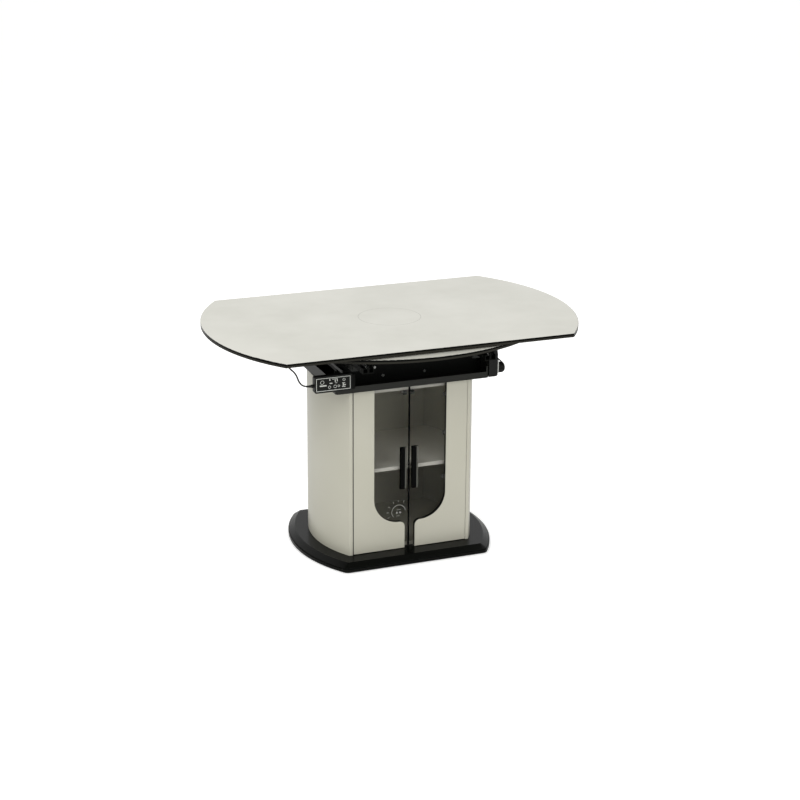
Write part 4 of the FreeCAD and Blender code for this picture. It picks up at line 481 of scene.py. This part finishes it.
def loose_parts(node_name):
    """Lowest and highest corner of each separate solid of a node."""
    shape = bmesh.new()
    shape.from_mesh(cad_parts[node_name].data)
    bmesh.ops.remove_doubles(shape, verts=shape.verts, dist=MERGE_DISTANCE)
    reached = set()
    boxes = []
    for first in shape.verts:
        if first in reached:
            continue
        reached.add(first)
        group, stack = [], [first]
        while stack:
            vertex = stack.pop()
            group.append(vertex.co.copy())
            for edge in vertex.link_edges:
                other = edge.other_vert(vertex)
                if other not in reached:
                    reached.add(other)
                    stack.append(other)
        low = Vector([min(point[axis] for point in group) for axis in range(3)])
        high = Vector([max(point[axis] for point in group) for axis in range(3)])
        boxes.append((low, high))
    shape.free()
    return boxes


def new_tree(name, sizes):
    """Geometry Nodes tree with a geometry input, named sizes and a geometry output."""
    tree = bpy.data.node_groups.new(name, "GeometryNodeTree")
    tree.interface.new_socket("Geometry", in_out="INPUT", socket_type="NodeSocketGeometry")
    for label, kind in sizes.items():
        tree.interface.new_socket(label, in_out="INPUT", socket_type=kind)
    tree.interface.new_socket("Geometry", in_out="OUTPUT", socket_type="NodeSocketGeometry")
    return tree, add(tree, "NodeGroupInput").outputs, add(tree, "NodeGroupOutput").inputs


def grown(name, start_mesh, tree, sizes, finish, body):
    """Plain mesh that a tree makes from a start mesh and its sizes."""
    seed = bpy.data.objects.new(f"{name}_seed", start_mesh)
    bpy.context.scene.collection.objects.link(seed)
    modifier = seed.modifiers.new("grow", "NODES")
    modifier.node_group = tree
    sockets = {item.name: item.identifier for item in tree.interface.items_tree if item.in_out == "INPUT"}
    for label, value in sizes.items():
        modifier[sockets[label]] = value
    evaluated = seed.evaluated_get(bpy.context.evaluated_depsgraph_get())
    mesh = bpy.data.meshes.new_from_object(evaluated)
    mesh.name = name
    bpy.data.objects.remove(seed)
    return finished_piece(name, mesh, finish, body)


def end_tree(tree, geometry, output, material_socket):
    """Make instances real and give them their material."""
    real = add(tree, "GeometryNodeRealizeInstances", links={"Geometry": geometry})
    painted = add(tree, "GeometryNodeSetMaterial",
                  links={"Geometry": real.outputs[0], "Material": material_socket})
    tree.links.new(painted.outputs[0], output["Geometry"])


SCREW_HEAD_RADIUS = 5.5 * MM
SCREW_HEAD_HEIGHT = 3 * MM
HINGE_SCREW_RADIUS = 3.5 * MM
HINGE_SCREW_HEIGHT = 1.2 * MM
HEAD_SIDES = 24

# Sizes as shares of the head's radius
CROWN_SHARE = 0.62
RECESS_LENGTH_SHARE = 0.95
RECESS_WIDTH_SHARE = 0.2

# Cup flanges are the door hardware's only tall solids, and each flange or plate has two screws near its ends
CUP_FLANGE_LEAST = 45 * MM
HINGE_SCREW_INSET = 7 * MM
HINGE_PLATE_THICKNESS = 2.5 * MM


def pan_head_tree():
    """Domed screw head with a cross recess at every point, all facing one way."""
    tree, given, output = new_tree("pan_heads", {
        "Head Radius": "NodeSocketFloat", "Head Height": "NodeSocketFloat", "Facing": "NodeSocketVector",
        "Material": "NodeSocketMaterial",
    })
    crown, recess_length, recess_width = [
        add(tree, "ShaderNodeMath", {"operation": "MULTIPLY", 1: share}, {0: given["Head Radius"]}).outputs[0]
        for share in (CROWN_SHARE, RECESS_LENGTH_SHARE, RECESS_WIDTH_SHARE)
    ]
    head = add(tree, "GeometryNodeMeshCone", {"Vertices": HEAD_SIDES}, {
        "Radius Bottom": given["Head Radius"], "Radius Top": crown, "Depth": given["Head Height"],
    })
    lift = add(tree, "ShaderNodeCombineXYZ", links={"Z": given["Head Height"]})
    recessed = head.outputs[0]
    for along, across in ((recess_length, recess_width), (recess_width, recess_length)):
        size = add(tree, "ShaderNodeCombineXYZ", links={"X": along, "Y": across, "Z": given["Head Height"]})
        bar = add(tree, "GeometryNodeMeshCube", links={"Size": size.outputs[0]})
        raised = add(tree, "GeometryNodeTransform",
                     links={"Geometry": bar.outputs[0], "Translation": lift.outputs[0]})
        recessed = add(tree, "GeometryNodeMeshBoolean", {"operation": "DIFFERENCE"},
                       {0: recessed, 1: raised.outputs[0]}).outputs[0]
    turn = add(tree, "FunctionNodeAlignRotationToVector", {"axis": "Z"}, {"Vector": given["Facing"]})
    spread = add(tree, "GeometryNodeInstanceOnPoints",
                 links={"Points": given["Geometry"], "Instance": recessed, "Rotation": turn.outputs[0]})
    end_tree(tree, spread.outputs[0], output, given["Material"])
    return tree


def points_mesh(name, points):
    """Mesh of loose points."""
    mesh = bpy.data.meshes.new(name)
    mesh.from_pydata([tuple(point) for point in points], [], [])
    return mesh


def frame_screw_heads():
    """Cross-recessed pan heads of the frame's screws, in the places of the plain ones."""
    tree = pan_head_tree()
    groups = {}
    for low, high in loose_parts("frame_screws"):
        size, middle = high - low, (low + high) / 2
        if size.y < min(size.x, size.z):
            side = 1 if middle.y > 0 else -1
            seat = Vector((middle.x, high.y if side > 0 else low.y, middle.z))
            groups.setdefault((0, side, 0), []).append(seat)
        else:
            side = 1 if middle.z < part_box("rail_brackets")[0].z else -1
            seat = Vector((middle.x, middle.y, high.z if side > 0 else low.z))
            groups.setdefault((0, 0, side), []).append(seat)
    names = {(0, -1, 0): "front_plate_screws", (0, 1, 0): "rear_plate_screws",
             (0, 0, 1): "tray_screws", (0, 0, -1): "top_screws"}
    for facing, seats in groups.items():
        way = Vector(facing)
        roots = [seat - way * SCREW_HEAD_HEIGHT for seat in seats]
        piece = grown(names[facing], points_mesh(names[facing], roots), tree, {
            "Head Radius": SCREW_HEAD_RADIUS, "Head Height": SCREW_HEAD_HEIGHT, "Facing": way,
            "Material": finishes["zinc_plated_steel"],
        }, "zinc_plated_steel", "table")
        if facing == (0, -1, 0):
            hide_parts("frame_screws")
    return tree


def hinge_screw_heads(tree):
    """Small screws on the flanges of the hinge cups and on the plates of the arms."""
    inset = HINGE_SCREW_INSET
    shared = {
        "Head Radius": HINGE_SCREW_RADIUS, "Head Height": HINGE_SCREW_HEIGHT,
        "Material": finishes["polished_chrome"],
    }
    for side, body in ((-1, "left_door"), (1, "right_door")):
        flanges = [(low, high) for low, high in loose_parts(f"{body}_hardware")
                   if high.z - low.z > CUP_FLANGE_LEAST]
        seats = [Vector(((low.x + high.x) / 2, high.y, height))
                 for low, high in flanges for height in (low.z + inset, high.z - inset)]
        grown(f"{body}_hinge_screws", points_mesh("flange_points", seats), tree,
              {**shared, "Facing": Vector((0, 1, 0))}, "polished_chrome", body)
        plates = [part for part in loose_parts("door_hinge_arms") if (part[0].x > 0) == (side > 0)]
        plate_seats = []
        for low, high in plates:
            face = high.x - HINGE_PLATE_THICKNESS if side > 0 else low.x + HINGE_PLATE_THICKNESS
            plate_seats += [Vector((face, high.y - inset * 2, height))
                            for height in (low.z + inset, high.z - inset)]
        name = "left_plate_screws" if side < 0 else "right_plate_screws"
        grown(name, points_mesh("plate_points", plate_seats), tree,
              {**shared, "Facing": Vector((-side, 0, 0))}, "polished_chrome", "table")


GUARD_SIZES = {"First Radius": 16 * MM, "Ring Step": 5 * MM, "Ring Count": 4, "Wire Radius": 0.8 * MM}


def fan_guard():
    """Wire guard of the fan's inlet under the hob: rings a few millimetres apart, made by a tree."""
    tree, given, output = new_tree("guard_rings", {
        "First Radius": "NodeSocketFloat", "Ring Step": "NodeSocketFloat", "Ring Count": "NodeSocketInt",
        "Wire Radius": "NodeSocketFloat", "Material": "NodeSocketMaterial",
    })
    line = add(tree, "GeometryNodeMeshLine", links={"Count": given["Ring Count"]})
    line.inputs["Offset"].default_value = (0, 0, 0)
    index = add(tree, "GeometryNodeInputIndex")
    steps = add(tree, "ShaderNodeMath", {"operation": "MULTIPLY"},
                {0: index.outputs[0], 1: given["Ring Step"]})
    radius = add(tree, "ShaderNodeMath", {"operation": "ADD"},
                 {0: steps.outputs[0], 1: given["First Radius"]})
    circle = add(tree, "GeometryNodeCurvePrimitiveCircle", {"Resolution": 48, "Radius": 1.0})
    rings = add(tree, "GeometryNodeInstanceOnPoints",
                links={"Points": line.outputs[0], "Instance": circle.outputs[0], "Scale": radius.outputs[0]})
    real = add(tree, "GeometryNodeRealizeInstances", links={"Geometry": rings.outputs[0]})
    wire = add(tree, "GeometryNodeCurvePrimitiveCircle", {"Resolution": 8},
               {"Radius": given["Wire Radius"]})
    tube = add(tree, "GeometryNodeCurveToMesh",
               links={"Curve": real.outputs[0], "Profile Curve": wire.outputs[0]})
    seat = add(tree, "GeometryNodeMeshToPoints", links={"Mesh": given["Geometry"]})
    placed = add(tree, "GeometryNodeInstanceOnPoints",
                 links={"Points": seat.outputs[0], "Instance": tube.outputs[0]})
    end_tree(tree, placed.outputs[0], output, given["Material"])
    low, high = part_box("hob_fan_frame")
    middle = (low + high) / 2
    place = Vector((middle.x, middle.y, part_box("hob_housing")[0].z + GUARD_SIZES["Wire Radius"]))
    grown("fan_guard", points_mesh("guard_point", [place]), tree,
          {**GUARD_SIZES, "Material": finishes["zinc_plated_steel"]},
          "zinc_plated_steel", "table")


def control_cord():
    """Black cord that leaves the touch control, curls up past the frame's end and runs in to the hob."""
    curve = bpy.data.curves.new("hob_control_cord", "CURVE")
    curve.dimensions = "3D"
    curve.bevel_depth = CORD_DIAMETER / 2
    curve.bevel_resolution = 4
    curve.resolution_u = 16
    curve.use_fill_caps = True
    spline = curve.splines.new("NURBS")
    spline.points.add(len(CORD_ROUTE) - 1)
    for point, place in zip(spline.points, CORD_ROUTE):
        point.co = (*(value * MM for value in place), 1)
    spline.order_u = 3
    spline.use_endpoint_u = True
    curve.materials.append(finishes["pvc_jacket"])
    cord = bpy.data.objects.new("hob_control_cord", curve)
    bpy.context.scene.collection.objects.link(cord)
    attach(cord, "table")
    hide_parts("control_cord")


def strain_relief(name, start, way):
    """Tapered, ribbed sleeve on the cord where it leaves a housing."""
    direction = Vector(way).normalized()
    turn = Vector((0, 0, 1)).rotation_difference(direction).to_matrix().to_4x4()
    length, root_radius, tip_radius = 15 * MM, 4.6 * MM, 3.1 * MM
    rib_count, rib_depth, side_count = 5, 0.5 * MM, 24
    steps = rib_count * 4
    rings = []
    for step in range(steps + 1):
        share = step / steps
        groove = rib_depth * math.sin(math.tau * rib_count * share) ** 2
        rings.append((root_radius + (tip_radius - root_radius) * share - groove, length * share))

    def build(shape):
        loops = []
        for radius, height in rings:
            loops.append([
                shape.verts.new((radius * math.cos(angle), radius * math.sin(angle), height))
                for angle in (math.tau * number / side_count for number in range(side_count))
            ])
        for lower, upper in zip(loops, loops[1:]):
            for number in range(side_count):
                after = (number + 1) % side_count
                shape.faces.new((lower[number], lower[after], upper[after], upper[number]))
        shape.faces.new(loops[0])
        shape.faces.new(loops[-1])
        shape.transform(Matrix.Translation(Vector(start)) @ turn)

    finished_piece(name, mesh_from(name, build), "pvc_jacket", "table")


# How far a print stands proud of its surface, and how far it goes into it
CONTROL_PRINT_RISE = 0.15 * MM
GLASS_PRINT_RISE = 0.12 * MM
PRINT_SINK = 0.05 * MM

FRAME_LINE_WIDTH = 1.7 * MM
KEY_LINE = 1.3 * MM

# Each ring's place along and up the window as shares, and its radius
KEY_RINGS = [
    (0.175, 0.68, 6.2 * MM), (0.385, 0.27, 4.6 * MM), (0.55, 0.29, 5 * MM), (0.655, 0.3, 3.6 * MM),
    (0.81, 0.76, 4.6 * MM),
]

# Each bar's place along and up the window as shares, and its length and height
KEY_BARS = [
    (0.2, 0.42, 22 * MM, 4.2 * MM), (0.395, 0.84, 3 * MM, 6 * MM), (0.43, 0.56, 9 * MM, 3.4 * MM),
    (0.54, 0.87, 17 * MM, 2 * MM), (0.555, 0.72, 3 * MM, 7.5 * MM), (0.615, 0.76, 2.6 * MM, 8 * MM),
    (0.585, 0.56, 7 * MM, 1.4 * MM), (0.8, 0.5, 10 * MM, 2 * MM), (0.79, 0.38, 3 * MM, 9 * MM),
    (0.83, 0.35, 7 * MM, 3 * MM), (0.8, 0.22, 11 * MM, 2.4 * MM),
]


def control_marks():
    """Silver line round the touch control's window, and plain key symbols on it."""
    low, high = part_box("control_fascia")
    front, back = low.y - CONTROL_PRINT_RISE, low.y + PRINT_SINK
    line = FRAME_LINE_WIDTH

    def frame_line(shape):
        add_block(shape, (low.x, front, low.z), (high.x, back, low.z + line))
        add_block(shape, (low.x, front, high.z - line), (high.x, back, high.z))
        add_block(shape, (low.x, front, low.z + line), (low.x + line, back, high.z - line))
        add_block(shape, (high.x - line, front, low.z + line), (high.x, back, high.z - line))

    finished_piece("control_frame_line", mesh_from("control_frame_line", frame_line), "printed_silver",
                   "table")

    def keys(shape):
        width, height = high.x - low.x, high.z - low.z
        for along, up, radius in KEY_RINGS:
            centre = (low.x + width * along, low.z + height * up)
            add_ring(shape, centre, radius - KEY_LINE, radius, front, back, steps=24)
        for along, up, long, tall in KEY_BARS:
            x, z = low.x + width * along, low.z + height * up
            add_block(shape, (x - long / 2, front, z - tall / 2), (x + long / 2, back, z + tall / 2))

    finished_piece("control_keys", mesh_from("control_keys", keys), "printed_silver",
                   "table")


# The ring's centre across and up, its inner and outer radius, and the start and turn of its arc in degrees
GLASS_RING_CENTRE = (-33 * MM, 151 * MM)
GLASS_RING_RADII = (22.4 * MM, 24 * MM)
GLASS_RING_ARC = (5, 215)

# The ticks round the ring: their inner and outer end from its centre, their width and their angles
TICK_NEAR, TICK_FAR, TICK_WIDTH = 34 * MM, 41 * MM, 1.7 * MM
TICK_ANGLES = (62, 92, 118, 150, 178, 206)

# Each mark's place from the ring's centre, and its length and height
GLASS_MARKS = [
    (-6 * MM, -3 * MM, 5 * MM, 6 * MM), (5 * MM, -3 * MM, 7 * MM, 5 * MM), (0, 7 * MM, 14 * MM, 1.2 * MM),
    (-2 * MM, -14 * MM, 12 * MM, 1.2 * MM),
]


def glass_print():
    """Plain ring, ticks and small marks printed low on the left door's glass."""
    front_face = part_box("left_door_glass")[0].y
    front, back = front_face - GLASS_PRINT_RISE, front_face + PRINT_SINK
    start, arc = GLASS_RING_ARC
    centre = Vector((GLASS_RING_CENTRE[0], (front + back) / 2, GLASS_RING_CENTRE[1]))

    def build(shape):
        add_ring(shape, GLASS_RING_CENTRE, *GLASS_RING_RADII, front, back, steps=40, start=start, turn=arc)
        for angle in map(math.radians, TICK_ANGLES):
            way = Vector((math.cos(angle), 0, math.sin(angle)))
            middle = centre + way * (TICK_NEAR + TICK_FAR) / 2
            turn = Matrix.Rotation(-angle, 4, "Y")
            size = Matrix.Diagonal((TICK_FAR - TICK_NEAR, back - front, TICK_WIDTH, 1))
            bmesh.ops.create_cube(shape, size=1.0, matrix=Matrix.Translation(middle) @ turn @ size)
        for along, up, long, tall in GLASS_MARKS:
            x, z = centre.x + along, centre.z + up
            add_block(shape, (x - long / 2, front, z - tall / 2), (x + long / 2, back, z + tall / 2))

    finished_piece("left_glass_print", mesh_from("left_glass_print", build), "faint_print", "left_door")


def glass_seal():
    """Black seal on the right door's glass, which fills most of the gap between the two panes."""
    low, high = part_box("right_door_glass")
    reach, lap, proud = 2.5 * MM, 1.7 * MM, 0.3 * MM

    def build(shape):
        add_block(shape, (low.x - reach, low.y - proud, low.z), (low.x, high.y, high.z))
        add_block(shape, (low.x, low.y - proud, low.z), (low.x + lap, low.y, high.z))

    finished_piece("glass_seal", mesh_from("glass_seal", build), "cell_rubber", "right_door")


RIB_SIZES = {"Rib Count": 26, "Rib Length": 16 * MM, "Rib Radius": 0.9 * MM}

# How deep the ribs' axes lie in the rim, and how far their middles are from the knob's outer face
RIB_DEPTH = 0.4 * MM
RIB_MIDDLE = 17 * MM


def knob_ribs():
    """Grip ribs round the rim of the slide lock's knob, made by a tree."""
    tree, given, output = new_tree("grip_ribs", {
        "Rim Radius": "NodeSocketFloat", "Rib Count": "NodeSocketInt", "Rib Length": "NodeSocketFloat",
        "Rib Radius": "NodeSocketFloat", "Material": "NodeSocketMaterial",
    })
    circle = add(tree, "GeometryNodeMeshCircle",
                 links={"Vertices": given["Rib Count"], "Radius": given["Rim Radius"]})
    rib = add(tree, "GeometryNodeMeshCylinder", {"Vertices": 8},
              {"Radius": given["Rib Radius"], "Depth": given["Rib Length"]})
    ribs = add(tree, "GeometryNodeInstanceOnPoints",
               links={"Points": circle.outputs[0], "Instance": rib.outputs[0]})
    turned = add(tree, "GeometryNodeTransform", {"Rotation": (0, math.pi / 2, 0)},
                 {"Geometry": ribs.outputs[0]})
    seat = add(tree, "GeometryNodeMeshToPoints", links={"Mesh": given["Geometry"]})
    placed = add(tree, "GeometryNodeInstanceOnPoints",
                 links={"Points": seat.outputs[0], "Instance": turned.outputs[0]})
    end_tree(tree, placed.outputs[0], output, given["Material"])
    low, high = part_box("lock_knob")
    middle = Vector((high.x - RIB_MIDDLE, (low.y + high.y) / 2, (low.z + high.z) / 2))
    grown("knob_ribs", points_mesh("knob_point", [middle]), tree, {
        **RIB_SIZES, "Rim Radius": (high.z - low.z) / 2 - RIB_DEPTH, "Material": finishes["moulded_abs"],
    }, "moulded_abs", "knob")


FLOOR_REACH = 30
FLOOR_LIFT = 0.4
WORLD_STRENGTH = 0.6

# Each lamp's name, place, target and size in metres, and its power in watts
LAMPS = [
    ("window_light", (-3.2, -2.6, 3.4), (0, 0, 0.5), (2.6, 2.0), 110),
    ("front_fill", (1.3, -4.4, 2.5), (0, 0, 0.5), (2.4, 1.6), 65),
    ("back_light", (0.8, 3.2, 3.0), (0, 0, 0.6), (2.4, 1.6), 40),
]


def pale_floor():
    """Plain floor that keeps the table's shadow and shows a little paler to the camera."""
    shape = bmesh.new()
    bmesh.ops.create_grid(shape, x_segments=1, y_segments=1, size=FLOOR_REACH)
    mesh = bpy.data.meshes.new("floor")
    shape.to_mesh(mesh)
    shape.free()
    material, tree, shader = new_finish("floor_paint", "#F4F4F2", Roughness=0.6)
    seen = add(tree, "ShaderNodeLightPath").outputs["Is Camera Ray"]
    lift = add(tree, "ShaderNodeMath", {"operation": "MULTIPLY", 1: FLOOR_LIFT}, {0: seen})
    shader.inputs["Emission Color"].default_value = linear("#FFFFFF")
    tree.links.new(lift.outputs[0], shader.inputs["Emission Strength"])
    mesh.materials.append(material)
    floor = bpy.data.objects.new("floor", mesh)
    bpy.context.scene.collection.objects.link(floor)


def studio_light():
    """Surroundings that are white to the camera, in mirrors and through glass, and three soft lamps."""
    world = bpy.data.worlds.new("studio")
    bpy.context.scene.world = world
    world.use_nodes = True
    tree = world.node_tree
    tree.nodes.clear()
    path = add(tree, "ShaderNodeLightPath")
    mirrored = add(tree, "ShaderNodeMath", {"operation": "ADD"},
                   {0: path.outputs["Is Glossy Ray"], 1: path.outputs["Is Transmission Ray"]})
    seen = add(tree, "ShaderNodeMath", {"operation": "ADD"},
               {0: path.outputs["Is Camera Ray"], 1: mirrored.outputs[0]})
    strength = add(tree, "ShaderNodeMapRange", {"To Min": WORLD_STRENGTH, "To Max": 1.0},
                   {"Value": seen.outputs[0]})
    back = add(tree, "ShaderNodeBackground", {"Color": linear("#FFFFFF")}, {"Strength": strength.outputs[0]})
    add(tree, "ShaderNodeOutputWorld", links={"Surface": back.outputs[0]})
    for name, place, target, size, power in LAMPS:
        lamp = bpy.data.lights.new(name, "AREA")
        lamp.shape = "RECTANGLE"
        lamp.size, lamp.size_y = size
        lamp.energy = power
        holder = bpy.data.objects.new(name, lamp)
        way = Vector(target) - Vector(place)
        holder.matrix_world = Matrix.Translation(place) @ way.to_track_quat("-Z", "Y").to_matrix().to_4x4()
        holder.visible_glossy = False
        bpy.context.scene.collection.objects.link(holder)


def viewpoint():
    """Camera at the viewpoint's place and angle."""
    camera = bpy.data.cameras.new("viewpoint")
    camera.sensor_width = CAMERA_SENSOR
    camera.lens = CAMERA_LENS
    camera.shift_x, camera.shift_y = CAMERA_SHIFT
    holder = bpy.data.objects.new("viewpoint", camera)
    backwards = CAMERA_RIGHT.cross(CAMERA_UP)
    turn = Matrix((CAMERA_RIGHT, CAMERA_UP, backwards)).transposed().to_4x4()
    holder.matrix_world = Matrix.Translation(CAMERA_PLACE) @ turn
    bpy.context.scene.collection.objects.link(holder)
    bpy.context.scene.camera = holder


viewpoint()
control_cord()
strain_relief("control_strain_relief", [value * MM for value in CORD_ROUTE[0]], (-17, 0, 1))
strain_relief("hob_strain_relief", [value * MM for value in CORD_ROUTE[-1]], (-1, 0, 0))
screw_tree = frame_screw_heads()
hinge_screw_heads(screw_tree)
fan_guard()
control_marks()
glass_print()
glass_seal()
knob_ribs()
pale_floor()
studio_light()
bpy.context.scene.view_settings.view_transform = "Standard"
